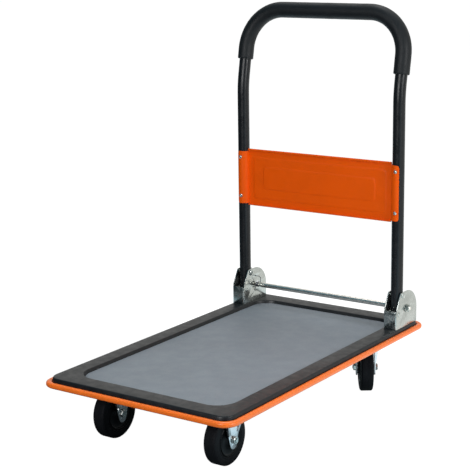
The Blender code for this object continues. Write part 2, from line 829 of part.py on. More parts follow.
def leg_outline(top_z, front_top, rear_top, tip_y):
    """Side view of a caster's leg, from its top edge down to its round tip."""
    tip = (tip_y, LEG_TIP_Z)
    return [(front_top, top_z)] + arc(tip, LEG_TIP_RADIUS, 196, 344, 6) + [(rear_top, top_z)]


def inset_leg_outline(top_z, front_top, rear_top, tip_y):
    """The leg's outer face inside its flanges, running out past both edges at the axle."""
    inset = 0.0026
    return [
        (front_top + inset, top_z - 0.0060),
        (tip_y - LEG_TIP_RADIUS, LEG_TIP_Z + 0.0200),
        (tip_y - 0.03, LEG_TIP_Z + 0.0100),
        (tip_y - 0.03, LEG_TIP_Z - 0.03),
        (tip_y + 0.03, LEG_TIP_Z - 0.03),
        (tip_y + 0.03, LEG_TIP_Z + 0.0100),
        (tip_y + LEG_TIP_RADIUS, LEG_TIP_Z + 0.0200),
        (rear_top - inset, top_z - 0.0060),
    ]


def make_fork(name, crown_mesh, crown_z, leg_shape, place):
    """A pressed fork: a flat crown with a flanged leg down each side of the wheel."""
    fork = add_part(name, crown_mesh, "zinc", Matrix.Translation((0, 0, crown_z)))
    leg = add_cutter(
        f"{name}_leg",
        flat_mesh("fork_leg", leg_outline(*leg_shape), LEG_FLANGE),
        Matrix.Translation((LEG_INSIDE + LEG_FLANGE / 2, 0, 0)) @ ALONG_X,
    )
    pocket = add_cutter(
        f"{name}_pocket",
        flat_mesh("fork_pocket", inset_leg_outline(*leg_shape), LEG_FLANGE),
        Matrix.Translation((LEG_INSIDE + LEG_SHEET + LEG_FLANGE / 2, 0, 0)) @ ALONG_X,
    )
    outside = LEG_INSIDE + LEG_SHEET
    wedge = [(outside, 0.02), (outside, 0.0560), (outside + 0.0056, 0.0900)]
    wedge += [(outside + 0.02, 0.0900), (outside + 0.02, 0.02)]
    taper = add_cutter(
        f"{name}_taper",
        flat_mesh("fork_taper", wedge, 0.2),
        ALONG_MINUS_Y,
    )
    tip_y = leg_shape[3]
    axle_hole = add_cutter(
        f"{name}_axle_hole",
        rod_mesh("axle_hole", AXLE_RADIUS + GAP, 0.1),
        Matrix.Translation((0, tip_y, WHEEL_RADIUS)) @ ALONG_X,
    )
    add_boolean(fork, leg, "UNION")
    for cutter in (pocket, taper, axle_hole):
        add_boolean(fork, cutter, "DIFFERENCE")
    mirror = fork.modifiers.new("both_sides", "MIRROR")
    mirror.use_axis = (True, False, False)
    mirror.use_bisect_axis = (True, False, False)
    mirror.use_bisect_flip_axis = (False, False, False)
    mirror.merge_threshold = 0.0001
    settle(fork, place)
    return fork


def settle(part, place):
    """Bakes a part's modifiers where they were set up, then moves it to its place."""
    depsgraph = bpy.context.evaluated_depsgraph_get()
    mesh = bpy.data.meshes.new_from_object(part.evaluated_get(depsgraph))
    mesh.name = part.name
    part.modifiers.clear()
    part.data = mesh
    part.matrix_world = place @ part.matrix_world


def make_rigid_fork(side, place):
    name = f"front_fork_{side}"
    half_x, half_y = (size / 2 for size in CASTER_PLATE_SIZE)
    outline = rounded_rectangle(-half_x, half_x, -half_y, half_y, 0.008, 4)
    crown = flat_mesh(name, outline, CASTER_PLATE)
    shape = (CASTER_PLATE_TOP - 0.0010, -0.0337, 0.0337, 0.0)
    return make_fork(name, crown, CASTER_PLATE_TOP - CASTER_PLATE / 2, shape, place)


def make_swivel_fork(side, place):
    name = f"rear_fork_{side}"
    half = LEG_INSIDE + LEG_SHEET
    front, rear = -0.0420, 0.0150
    outline = [(-half, front), (half, front), (half, rear)]
    outline += arc((0, 0), 0.0262, 35, 145, 10)
    outline.append((-half, rear))
    crown = flat_mesh(name, outline, CROWN_SHEET, (circle((0, 0), KINGPIN_RADIUS + GAP, 18),))
    shape = (CROWN_TOP - 0.0010, front, 0.0200, -CASTER_TRAIL)
    return make_fork(name, crown, CROWN_TOP - CROWN_SHEET / 2, shape, place)


def make_swivel_top(side, place):
    name = f"rear_top_plate_{side}"
    half_x, half_y = (size / 2 for size in CASTER_PLATE_SIZE)
    outline = rounded_rectangle(-half_x, half_x, -half_y, half_y, 0.008, 4)
    mesh = flat_mesh(name, outline, CASTER_PLATE, (circle((0, 0), KINGPIN_RADIUS + GAP, 18),))
    lift = Matrix.Translation((0, 0, CASTER_PLATE_TOP - CASTER_PLATE / 2))
    return add_part(name, mesh, "zinc", place @ lift)


def make_swivel_bearing(side, place):
    """Ball race between the top plate and the fork's crown."""
    top = CASTER_PLATE_TOP - CASTER_PLATE - GAP
    foot = CROWN_TOP + GAP
    profile = [
        (0.0250, top),
        (0.0250, top - 0.0042),
        (0.0215, top - 0.0052),
        (0.0215, foot + 0.0026),
        (0.0245, foot),
        (0.0064, foot),
        (0.0064, top),
    ]
    name = f"swivel_bearing_{side}"
    return add_part(name, turned_mesh(name, profile, 20, closed=True), "zinc", place)


def make_kingpin(side, place):
    top = CASTER_PLATE_TOP - GAP
    seat = CROWN_TOP - CROWN_SHEET - GAP
    profile = [
        (0.0, top),
        (KINGPIN_RADIUS, top),
        (KINGPIN_RADIUS, seat),
        (0.0095, seat),
        (0.0088, seat - 0.0026),
        (0.0, seat - 0.0036),
    ]
    name = f"kingpin_{side}"
    return add_part(name, turned_mesh(name, profile, 18), "zinc", place)


def make_axle_bolt(name, axle, head_side):
    """Hexagon bolt along the axle. Its head is on the side of the given sign."""
    seat = LEG_INSIDE + LEG_SHEET + GAP
    head_height = 0.0050
    end = seat + NUT_HEIGHT + GAP + 0.0015
    turn = Matrix.Rotation(0 if head_side > 0 else math.pi, 4, "X")
    frame = axle @ ALONG_X @ turn
    head = flat_mesh(name, hexagon(0.013), head_height)
    bolt = add_part(name, head, "zinc", frame @ Matrix.Translation((0, 0, seat + head_height / 2)))
    profile = [
        (0.0, seat + 0.0020),
        (AXLE_RADIUS, seat + 0.0020),
        (AXLE_RADIUS, -end + 0.0008),
        (0.0034, -end),
        (0.0, -end),
    ]
    shank = add_cutter(f"{name}_shank", turned_mesh("axle_shank", profile, 16), frame)
    add_boolean(bolt, shank, "UNION")
    return bolt


def make_axle_nut(name, axle, head_side):
    seat = LEG_INSIDE + LEG_SHEET + GAP
    middle = -head_side * (seat + NUT_HEIGHT / 2)
    matrix = axle @ Matrix.Translation((middle, 0, 0)) @ ALONG_X
    return add_part(name, nut_mesh(name), "zinc", matrix)


def make_axle_sleeve(name, axle):
    """Steel sleeve clamped between the fork's legs. The hub turns on it."""
    half = LEG_INSIDE - GAP
    inner, outer = AXLE_RADIUS + GAP, 0.0060
    profile = [(outer, half), (outer, -half), (inner, -half), (inner, half)]
    mesh = turned_mesh(name, profile, 12, closed=True)
    return add_part(name, mesh, "spring_steel", axle @ ALONG_X)


def make_hub(name, axle):
    half = [
        (HUB_RADIUS, 0.0128),
        (0.0316, 0.0143),
        (0.0150, 0.0152),
        (0.0135, HUB_HALF_WIDTH),
        (0.0063, HUB_HALF_WIDTH),
    ]
    profile = [(radius, -across) for radius, across in half]
    profile = half[::-1] + profile
    mesh = turned_mesh(name, profile, 24, closed=True)
    return add_part(name, mesh, "black_plastic", axle @ ALONG_X, smooth_angle=25)


def make_tyre(name, axle):
    inner = HUB_RADIUS + GAP
    half = [
        (inner, 0.0128),
        (0.0350, 0.0141),
        (0.0470, 0.0130),
        (0.0493, 0.0118),
        (WHEEL_RADIUS, 0.0092),
    ]
    profile = half + [(radius, -across) for radius, across in reversed(half)]
    mesh = turned_mesh(name, profile, 32, closed=True)
    return add_part(name, mesh, "black_rubber", axle @ ALONG_X, smooth_angle=30)


# ---------------------------------------------------------------- assembly


def build_deck():
    make_deck_plate()
    make_edge_bumper()
    make_deck_mat()
    for place, y in RIB_PLACES.items():
        make_cross_rib(place, y)


def build_handle():
    pieces = [make_handle_tube(), make_handle_grip(), make_back_panel()]
    for side, sign in SIDES.items():
        for place, z in SCREW_HEIGHTS.items():
            pieces.append(make_panel_screw(side, sign, place, z))
    attach(pieces, joint_empty("handle_fold_axis", (0, TUBE_Y, PIVOT_Z)))


def build_hinges():
    moving = [make_release_rod()]
    for side, sign in SIDES.items():
        make_hinge_bracket(side, sign)
        make_pivot_pin(side, sign)
        make_stop_pin(side, sign)
        for place, y in RIVET_PLACES.items():
            make_bracket_rivet(side, sign, place, y)
        moving.append(make_rod_washer(side, sign))
        moving.append(make_rod_nut(side, sign))
        moving.append(make_rod_spring(side, sign))
    attach(moving, joint_empty("rod_release_axis", (0, ROD_Y, ROD_Z)))


def build_wheel(end, side, axle, head_side):
    """Axle pieces and the two turning pieces of one wheel."""
    label = f"{end}_{side}"
    fixed = [
        make_axle_bolt(f"axle_bolt_{label}", axle, head_side),
        make_axle_nut(f"axle_nut_{label}", axle, head_side),
        make_axle_sleeve(f"axle_sleeve_{label}", axle),
    ]
    turning = [make_hub(f"wheel_hub_{label}", axle), make_tyre(f"wheel_tyre_{label}", axle)]
    attach(turning, joint_empty(f"wheel_axis_{label}", axle.to_translation()))
    return fixed


def build_casters():
    for side, sign in SIDES.items():
        place = Matrix.Translation((sign * CASTER_X, FRONT_CASTER_Y, 0))
        make_rigid_fork(side, place)
        build_wheel("front", side, place @ Matrix.Translation((0, 0, WHEEL_RADIUS)), -sign)

        mount = Matrix.Translation((sign * CASTER_X, REAR_CASTER_Y, 0))
        make_swivel_top(side, mount)
        make_swivel_bearing(side, mount)
        make_kingpin(side, mount)
        turned = mount @ Matrix.Rotation(REST_SWIVEL, 4, "Z")
        axle = turned @ Matrix.Translation((0, -CASTER_TRAIL, WHEEL_RADIUS))
        pieces = [make_swivel_fork(side, turned)]
        pieces += build_wheel("rear", side, axle, 1)
        attach(pieces, joint_empty(f"swivel_axis_{side}", mount.to_translation()))


build_deck()
build_handle()
build_hinges()
build_casters()
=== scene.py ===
"""Looks of the folding platform cart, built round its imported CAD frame.

Every CAD node is modelled again at a finer scale, by a piece that stands for it and rides on
its body. Only the caster plates' bolts have no node. Lengths are in metres and places are in
the frame's axes: +X across the cart, +Y along the deck towards the handle, +Z up.
"""
import json
import math

import bmesh
import bpy
from mathutils import Matrix, Vector, noise


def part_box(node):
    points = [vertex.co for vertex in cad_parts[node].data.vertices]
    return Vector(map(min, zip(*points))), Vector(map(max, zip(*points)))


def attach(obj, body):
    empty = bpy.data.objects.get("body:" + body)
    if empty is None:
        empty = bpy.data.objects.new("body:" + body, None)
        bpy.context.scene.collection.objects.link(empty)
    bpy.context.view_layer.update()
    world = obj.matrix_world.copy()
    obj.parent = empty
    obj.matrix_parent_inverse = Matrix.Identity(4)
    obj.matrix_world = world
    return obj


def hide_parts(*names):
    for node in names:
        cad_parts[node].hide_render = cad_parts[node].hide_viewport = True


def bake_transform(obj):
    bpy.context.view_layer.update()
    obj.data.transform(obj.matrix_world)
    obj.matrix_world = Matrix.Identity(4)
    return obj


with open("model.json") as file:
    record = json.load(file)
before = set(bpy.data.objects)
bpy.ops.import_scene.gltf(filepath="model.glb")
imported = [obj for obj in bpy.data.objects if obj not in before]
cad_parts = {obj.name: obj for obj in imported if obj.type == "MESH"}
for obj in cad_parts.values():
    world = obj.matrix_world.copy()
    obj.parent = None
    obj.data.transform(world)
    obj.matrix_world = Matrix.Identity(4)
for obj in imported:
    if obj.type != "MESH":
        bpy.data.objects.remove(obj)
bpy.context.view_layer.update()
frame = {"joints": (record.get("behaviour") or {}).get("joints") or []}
JOINTS = {joint["name"]: joint for joint in frame["joints"]}

GAP = 0.0003
WELD_DISTANCE = 0.000005
SIDES = {"left": -1, "right": 1}

# Camera.
CAMERA_PLACE = (1.48382, -2.18068, 0.95730)
CAMERA_AZIMUTH = math.radians(34.625)
CAMERA_ELEVATION = math.radians(12.642)
CAMERA_ROLL = math.radians(-0.769)
CAMERA_LENS = 104.1

# Deck.
DECK_TOP = 0.1350
DECK_HALF_WIDTH = 0.2082
DECK_HALF_LENGTH = 0.3628
DECK_CORNER = 0.0245
DECK_SHEET = 0.0016
SKIRT_FLARE = 0.0014
BORDER_SIDE = 0.0355
BORDER_FRONT = 0.0388
BORDER_REAR = 0.0412
RECESS_CORNER = 0.040
RECESS_SLOPE = 0.0024
RECESS_FLOOR = 0.1260
CORNER_STEPS = 14

# Wheels and casters.
WHEEL_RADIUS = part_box("wheel_tyre_front_right")[1][2] / 2
CASTER_X = JOINTS["swivel_right_turn"]["pos_m"][0]
FRONT_CASTER_Y = JOINTS["wheel_front_right_spin"]["pos_m"][1]
REAR_CASTER_Y = JOINTS["swivel_right_turn"]["pos_m"][1]
CASTER_TRAIL = 0.0276
REST_SWIVEL = math.radians(34.6)
CASTER_PLATE_TOP = RECESS_FLOOR - DECK_SHEET - GAP
CASTER_PLATE = 0.0025
CASTER_PLATE_SIZE = (0.084, 0.104)
PLATE_BOLTS = (0.0345, 0.0440)
LEG_INSIDE = 0.0178
LEG_SHEET = 0.0025
LEG_FLANGE = 0.0080
LEG_TIP_RADIUS = 0.0105
LEG_TIP_Z = 0.0433
AXLE_RADIUS = 0.0040
CROWN_TOP = 0.1119
CROWN_SHEET = 0.0027
KINGPIN_RADIUS = 0.0057
NUT_HEIGHT = 0.0055
NUT_FLATS = 0.0130
HEX_RADIUS = NUT_FLATS / 2 / math.cos(math.pi / 6)

# Handle.
PIVOT_Y, PIVOT_Z = JOINTS["handle_fold"]["pos_m"][1:]
TUBE_X = 0.1923
TUBE_RADIUS = 0.01275
TUBE_WALL = 0.0016
SHOWN_TUBE_END_Z = 0.1680
BEND_Z = 0.605
BEND_RADIUS = 0.25
BEND_DEGREES = 10.5
BEND_ANGLE = math.radians(BEND_DEGREES)
HANDLE_TOP_Z = 0.789
HANDLE_CORNER = 0.085
GRIP_RADIUS = 0.0171
GRIP_END_Z = {"left": 0.682, "right": 0.666}

# Back panel.
PANEL_SHEET = 0.0012
PANEL_TOP = 0.4865
PANEL_BOTTOM = 0.3595
PANEL_WRAP = 33
FLANGE_TOP = 0.4810
FLANGE_BOTTOM = 0.3640
SCREW_HEIGHTS = {"top": 0.4680, "bottom": 0.3810}
HEM_RADIUS = 0.0028
# Each pressed field's half width, bottom, top, corner radius and height.
PANEL_FIELDS = ((0.165, 0.3770, 0.4680, 0.008, 0.0009), (0.139, 0.3990, 0.4478, 0.006, 0.0009))

# Hinge brackets and foot rod.
BRACKET_SHEET = 0.0020
BRACKET_HALF_WIDTH = 0.0151
BRACKET_FRONT, BRACKET_REAR = (corner[1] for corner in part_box("hinge_bracket_right"))
BRACKET_BOTTOM = DECK_TOP + GAP
FRONT_WALL_TOP = 0.1740
STOP_PIN_Y, STOP_PIN_Z = 0.2681, 0.1670
ROD_Y, ROD_Z = 0.3034, 0.1733
ROD_RADIUS = 0.0055
ROD_HALF_LENGTH = 0.162
ROD_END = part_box("release_rod")[1][0]
ROD_TRAVEL = JOINTS["rod_release"]["range_m"][1]
SHANK_RADIUS = 0.0040
SLOT_FRONT = 0.2948
SPRING_HOLES = ((0.3048, 0.1919), (0.3043, 0.1580))
SPRING_WIRE = 0.0008
RIVET_PLACES = {"front": 0.2748, "rear": 0.3368}

# Turns local Z to world X, with local X along world Y and local Y along world Z.
ALONG_X = Matrix(((0, 0, 1, 0), (1, 0, 0, 0), (0, 1, 0, 0), (0, 0, 0, 1)))
# Turns local Z to world -Y, with local X along world X and local Y along world Z.
ALONG_MINUS_Y = Matrix(((1, 0, 0, 0), (0, 0, -1, 0), (0, 1, 0, 0), (0, 0, 0, 1)))

# Linear colours of the light, with alpha.
COOL_FRONT = (0.38, 0.78, 1.0, 1.0)
COOL_FLOOR = (0.58, 0.87, 1.0, 1.0)
WARM_BACK = (1.0, 1.0, 0.97, 1.0)
WHITE = (1.0, 1.0, 1.0, 1.0)

# Each lamp's place, diameter and power.
LAMPS = {
    "top": ((-0.4, 0.8, 2.8), 1.8, 17),
    "front": ((0.1, -2.9, 1.3), 1.7, 46),
    "side": ((2.9, -0.5, 1.4), 1.3, 36),
    "glint": ((1.5, -1.6, 2.7), 0.22, 7),
}
LAMPS_AIM = Vector((0, 0, 0.3))

# The floor's glow grows towards the cart's rear right, and is weak under the deck, as a painted
# shadow of the cart.
GLOW_DIRECTION = (0.57, 0.82, 0.0)
GLOW_IN_PAINTED_SHADOW = 0.12
FLOOR_HALF_SIZE = 30
FLOOR_COLOUR = (0.06, 0.06, 0.06, 1.0)

# A Mix node's two colour inputs and its colour output, by their place in its lists.
MIX_FIRST, MIX_SECOND = 6, 7
MIX_RESULT = 2


# ---------------- materials


def linear(red, green, blue):
    """Linear colour of an sRGB colour given in 0 to 255."""
    channels = []
    for value in (red, green, blue):
        value = value / 255
        channels.append(value / 12.92 if value <= 0.04045 else ((value + 0.055) / 1.055) ** 2.4)
    return (*channels, 1.0)


DUST = linear(150, 148, 142)
PALE_DUST = linear(172, 166, 156)
MAT_DIRT = linear(92, 92, 90)
TARNISH = linear(112, 106, 88)


class NodeTree:
    """Short hand for building the nodes of a material or of the world."""

    def __init__(self, owner, coordinates="Object"):
        owner.use_nodes = True
        self.owner = owner
        self.tree = owner.node_tree
        self.place = self.add("ShaderNodeTexCoord")[coordinates]

    def link(self, value, socket):
        """Gives a socket a value, or the output of another node."""
        if isinstance(value, bpy.types.NodeSocket):
            self.tree.links.new(value, socket)
        else:
            socket.default_value = value

    def add(self, kind, inputs=(), **settings):
        """Adds a node and gives back its outputs."""
        node = self.tree.nodes.new(kind)
        for key, value in settings.items():
            setattr(node, key, value)
        for key, value in dict(inputs).items():
            self.link(value, node.inputs[key])
        return node.outputs

    def scaled_place(self, scale):
        return self.add("ShaderNodeMapping", {"Vector": self.place, "Scale": scale})["Vector"]

    def split(self, vector):
        outputs = self.add("ShaderNodeSeparateXYZ", {"Vector": vector})
        return [outputs[axis] for axis in "XYZ"]

    def seen(self):
        """1 where the camera looks straight at the surface, 0 for its light and reflections."""
        return self.add("ShaderNodeLightPath")["Is Camera Ray"]

    def noise(self, scale, detail=3.0, roughness=0.55, place=None, distortion=0.0):
        inputs = {"Vector": place or self.place, "Scale": scale, "Detail": detail}
        inputs.update({"Roughness": roughness, "Distortion": distortion})
        return self.add("ShaderNodeTexNoise", inputs)["Fac"]

    def voronoi(self, scale, feature="F1"):
        inputs = {"Vector": self.place, "Scale": scale}
        return self.add("ShaderNodeTexVoronoi", inputs, feature=feature)["Distance"]

    def ramp(self, value, low, high, out_low=0.0, out_high=1.0):
        inputs = {"Value": value, "From Min": low, "From Max": high}
        inputs.update({"To Min": out_low, "To Max": out_high})
        return self.add("ShaderNodeMapRange", inputs, interpolation_type="SMOOTHSTEP")["Result"]

    def maths(self, operation, first, second):
        return self.add("ShaderNodeMath", {0: first, 1: second}, operation=operation)["Value"]

    def vector_maths(self, operation, *values):
        return self.add("ShaderNodeVectorMath", enumerate(values), operation=operation)

    def mix(self, factor, first, second):
        """Colour mix. Each side is a colour or another node's output."""
        inputs = {"Factor": factor, MIX_FIRST: first, MIX_SECOND: second}
        return self.add("ShaderNodeMix", inputs, data_type="RGBA")[MIX_RESULT]

    def bump(self, height, distance, strength=1.0, below=None):
        inputs = {"Height": height, "Distance": distance, "Strength": strength}
        if below is not None:
            inputs["Normal"] = below
        return self.add("ShaderNodeBump", inputs)["Normal"]

    def finish(self, colour, roughness, normal, gloss=0.5, metallic=0.0):
        shader = self.tree.nodes["Principled BSDF"].inputs
        self.link(colour, shader["Base Color"])
        self.link(roughness, shader["Roughness"])
        self.link(normal, shader["Normal"])
        shader["Specular IOR Level"].default_value = gloss
        shader["Metallic"].default_value = metallic
        return self.owner


def new_material(name):
    return NodeTree(bpy.data.materials.new(name))


def tint(colour, factor):
    return (*(channel * factor for channel in colour[:3]), 1.0)


def make_coating(name, colour, roughness, peel, gloss, dust, blotches=(0.90, 1.08), scuffing=0.22):
    """Powder coat: orange peel, faint blotches, fine scuffs and a little dust."""
    nodes = new_material(name)
    blotch = nodes.ramp(nodes.noise(16, 4), 0.35, 0.65)
    base = nodes.mix(blotch, tint(colour, blotches[0]), tint(colour, blotches[1]))
    scuff_place = nodes.scaled_place((90, 700, 260))
    scuffs = nodes.ramp(nodes.noise(1.0, 5, 0.6, scuff_place, 0.6), 0.66, 0.80)
    grime = nodes.ramp(nodes.noise(42, 6, 0.65), 0.52, 0.80, 0.0, dust)
    dusty = nodes.mix(grime, base, DUST)
    colour_out = nodes.mix(nodes.maths("MULTIPLY", scuffs, scuffing), dusty, tint(colour, 1.9))
    sheen_change = nodes.ramp(nodes.noise(60, 3), 0.3, 0.7, roughness - 0.05, roughness + 0.07)
    rough_out = nodes.maths("ADD", sheen_change, nodes.maths("MULTIPLY", scuffs, 0.6 * scuffing))
    fine = nodes.bump(nodes.noise(peel, 2, 0.5), 0.00012, 0.35)
    normal = nodes.bump(nodes.noise(2600, 2, 0.5), 0.00004, 0.30, fine)
    return nodes.finish(colour_out, rough_out, normal, gloss)


def make_mat():
    """Grey PVC sheet with a fine pebble grain, a little uneven in colour."""
    colour = linear(134, 140, 147)
    nodes = new_material("grey_mat")
    worn = nodes.ramp(nodes.noise(5.5, 5, 0.6), 0.35, 0.70)
    base = nodes.mix(worn, tint(colour, 0.94), tint(colour, 1.05))
    cells = nodes.voronoi(620, "SMOOTH_F1")
    grain = nodes.ramp(cells, 0.10, 0.62)
    speckle = nodes.mix(nodes.maths("MULTIPLY", grain, 0.30), base, tint(colour, 0.70))
    dirt = nodes.ramp(nodes.noise(85, 6, 0.7), 0.60, 0.82, 0.0, 0.20)
    colour_out = nodes.mix(dirt, speckle, MAT_DIRT)
    rough = nodes.ramp(nodes.noise(30, 4), 0.3, 0.7, 0.50, 0.64)
    pebbles = nodes.bump(nodes.maths("MULTIPLY", cells, -1.0), 0.00045, 0.55)
    normal = nodes.bump(nodes.noise(24, 3), 0.0012, 0.10, pebbles)
    return nodes.finish(colour_out, rough, normal, 0.45)


def make_soft(name, colour, roughness, grain_scale, grain_depth, gloss, dust, unevenness=0.11):
    """Rubber, foam or plastic: fine skin grain, uneven polish and dust in the grain."""
    nodes = new_material(name)
    patches = nodes.ramp(nodes.noise(22, 4), 0.3, 0.7)
    base = nodes.mix(patches, tint(colour, 1 - unevenness), tint(colour, 1 + unevenness))
    grain = nodes.noise(grain_scale, 4, 0.62)
    dusting = nodes.maths("MULTIPLY", nodes.ramp(nodes.noise(48, 5, 0.65), 0.48, 0.78), dust)
    in_grain = nodes.maths("MULTIPLY", dusting, nodes.ramp(grain, 0.40, 0.60))
    colour_out = nodes.mix(in_grain, base, PALE_DUST)
    rough = nodes.ramp(nodes.noise(35, 3), 0.3, 0.7, roughness - 0.06, roughness + 0.06)
    fine = nodes.bump(grain, grain_depth, 0.55)
    normal = nodes.bump(nodes.noise(70, 2), 0.0006, 0.12, fine)
    return nodes.finish(colour_out, rough, normal, gloss)


def make_zinc(
    name, colour, roughness, stretch, tarnish, spangles=0.35, clouds=(0.84, 1.10), relief=1.0,
    patches=1.0
):
    """Zinc plate: soft spangle, fine rolled lines and a little tarnish."""
    nodes = new_material(name)
    spangle = nodes.ramp(nodes.voronoi(230), 0.05, 0.75)
    cloud = nodes.ramp(nodes.noise(75, 5, 0.6), 0.30, 0.70)
    bright = nodes.mix(cloud, tint(colour, clouds[0]), tint(colour, clouds[1]))
    mottled = nodes.mix(nodes.maths("MULTIPLY", spangle, spangles), bright, tint(colour, 0.74))
    stain = nodes.ramp(nodes.noise(120, 6, 0.7), 0.56, 0.80, 0.0, tarnish)
    colour_out = nodes.mix(stain, mottled, TARNISH)
    lines = nodes.noise(1.0, 3, 0.5, nodes.scaled_place(stretch))
    rough_base = nodes.ramp(cloud, 0.0, 1.0, roughness - 0.06 * patches, roughness + 0.10 * patches)
    rough_out = nodes.maths("ADD", rough_base, nodes.maths("MULTIPLY", stain, 0.3))
    drawn = nodes.bump(lines, 0.00005, 0.30 * relief)
    normal = nodes.bump(nodes.noise(420, 3), 0.00010, 0.20 * relief, drawn)
    return nodes.finish(colour_out, rough_out, normal, metallic=1.0)


# Colour, roughness, scale of the orange peel, gloss, dust, then make_coating's last arguments.
COATINGS = {
    "black_steel": (linear(13, 16, 20), 0.40, 900, 0.40, 0.010),
    "black_tube": (linear(22, 24, 27), 0.30, 1200, 0.34, 0.02, (0.90, 1.08), 0.06),
    "orange_paint": (linear(246, 90, 0), 0.42, 800, 0.16, 0.0, (0.97, 1.02)),
}
# Colour, roughness, scale and depth of the grain, gloss, dust, then make_soft's last argument.
SOFT_PLASTICS = {
    "orange_bumper": (linear(255, 119, 36), 0.26, 1500, 0.00002, 0.46, 0.015, 0.03),
    "black_foam": (linear(21, 24, 27), 0.50, 2200, 0.00020, 0.30, 0.02),
    "black_plastic": (linear(10, 11, 13), 0.38, 1700, 0.00006, 0.15, 0.015),
    "black_rubber": (linear(21, 22, 25), 0.50, 1300, 0.00008, 0.07, 0.015),
}
# Colour, roughness, scale of the rolled lines, tarnish, then make_zinc's last arguments.
ZINCS = {
    "zinc": (linear(199, 204, 200), 0.22, (900, 60, 60), 0.30),
    "caster_zinc": (linear(240, 238, 239), 0.24, (900, 60, 60), 0.18, 0.20, (0.90, 1.06)),
    "rod_zinc": (linear(248, 243, 234), 0.22, (900, 900, 8), 0.04, 0.0, (0.97, 1.02), 0.06, 0.15),
    "spring_steel": (linear(120, 124, 130), 0.26, (500, 500, 500), 0.3),
}
MATERIALS = {"grey_mat": make_mat()}
for maker, table in ((make_coating, COATINGS), (make_soft, SOFT_PLASTICS), (make_zinc, ZINCS)):
    MATERIALS.update({name: maker(name, *row) for name, row in table.items()})


# ---------------- mesh tools


def at(x, y, z):
    """The matrix that moves something to a place."""
    return Matrix.Translation((x, y, z))


def turn_about(axis, angle):
    return Matrix.Rotation(angle, 4, axis)


def arc(centre, radius, start, end, steps):
    """Points along an arc, with its angles in degrees."""
    points = []
    for step in range(steps + 1):
        angle = math.radians(start + (end - start) * step / steps)
        x = centre[0] + radius * math.cos(angle)
        points.append((x, centre[1] + radius * math.sin(angle)))
    return points


def circle(centre, radius, steps=28):
    return arc(centre, radius, 0, 360, steps)[:-1]


def rounded_rectangle(x_low, x_high, y_low, y_high, radius, steps=CORNER_STEPS):
    left, right, low, high = x_low + radius, x_high - radius, y_low + radius, y_high - radius
    points = []
    for turn, centre in enumerate(((right, low), (right, high), (left, high), (left, low))):
        points += arc(centre, radius, 90 * turn - 90, 90 * turn, steps)
    return points


HEXAGON = circle((0, 0), HEX_RADIUS, 6)


def mirrored(profile):
    """A profile of (radius, height) pairs, carried on below height 0 as its mirror image."""
    return profile + [(radius, -height) for radius, height in reversed(profile)]


def placed(name, data, matrix=Matrix()):
    item = bpy.data.objects.new(name, data)
    item.matrix_world = matrix
    bpy.context.scene.collection.objects.link(item)
    return item


def mesh_of(name, shape):
    """Turns a bmesh into a mesh and frees it."""
    mesh = bpy.data.meshes.new(name)
    shape.to_mesh(mesh)
    shape.free()
    return mesh


def edited(mesh, edit):
    """Edits a mesh as a bmesh and turns its faces outwards."""
    shape = bmesh.new()
    shape.from_mesh(mesh)
    edit(shape)
    bmesh.ops.recalc_face_normals(shape, faces=shape.faces)
    shape.to_mesh(mesh)
    shape.free()
    return mesh


def weld(shape):
    bmesh.ops.remove_doubles(shape, verts=shape.verts, dist=WELD_DISTANCE)


def fill_ends(shape):
    bmesh.ops.holes_fill(shape, edges=shape.edges)


def evaluated_mesh(name, guide, helpers=()):
    """The guide's mesh with its modifiers applied. The guide and its helpers are removed."""
    depsgraph = bpy.context.evaluated_depsgraph_get()
    mesh = bpy.data.meshes.new_from_object(guide.evaluated_get(depsgraph))
    mesh.name = name
    for item in (guide, *helpers):
        bpy.data.objects.remove(item, do_unlink=True)
    return mesh


def modify(guide, kind, **settings):
    modifier = guide.modifiers.new(kind.lower(), kind)
    for key, value in settings.items():
        setattr(modifier, key, value)
    return modifier


def mesh_from(data, name, modifiers=()):
    """The welded mesh of a curve, or of a mesh with modifiers given as (kind, settings)."""
    guide = placed(name, data)
    for kind, settings in modifiers:
        modify(guide, kind, **settings)
    return edited(evaluated_mesh(name, guide), weld)


def plate(name, outline, thickness, holes=(), edge=0.0):
    """A flat sheet with holes, whose edges are rounded, centred on local Z = 0."""
    curve = bpy.data.curves.new(name, "CURVE")
    curve.dimensions = "2D"
    curve.fill_mode = "BOTH"
    curve.extrude = thickness / 2 - edge
    curve.bevel_depth = edge
    curve.bevel_resolution = 2
    curve.offset = -edge
    for points in (outline, *holes):
        spline = curve.splines.new("POLY")
        spline.points.add(len(points) - 1)
        for point, (x, y) in zip(spline.points, points):
            point.co = (x, y, 0, 1)
        spline.use_cyclic_u = True
    return mesh_from(curve, name)


def turned(name, profile, steps=40, closed=False):
    """A profile of (radius, height) pairs, top to bottom, turned about local Z."""
    shape = bmesh.new()
    corners = [shape.verts.new((radius, 0, height)) for radius, height in profile]
    for first, second in zip(corners, corners[1:]):
        shape.edges.new((first, second))
    if closed:
        shape.edges.new((corners[-1], corners[0]))
    screw = {
        "axis": "Z",
        "steps": steps,
        "render_steps": steps,
        "use_merge_vertices": True,
        "merge_threshold": WELD_DISTANCE,
    }
    return mesh_from(mesh_of(name, shape), name, [("SCREW", screw)])


def loft(name, rows, closed=True, wrap=False, fill_last=False, modifiers=()):
    """Faces between rows of points. Each row may close on itself, and the last join the first."""
    shape = bmesh.new()
    rows = [[shape.verts.new(place) for place in row] for row in rows]
    pairs = list(zip(rows, rows[1:]))
    if wrap:
        pairs.append((rows[-1], rows[0]))
    for lower, upper in pairs:
        count = len(lower)
        for index in range(count if closed else count - 1):
            after = (index + 1) % count
            shape.faces.new((lower[index], lower[after], upper[after], upper[index]))
    if fill_last:
        shape.faces.new(rows[-1])
    return mesh_from(mesh_of(name, shape), name, modifiers)


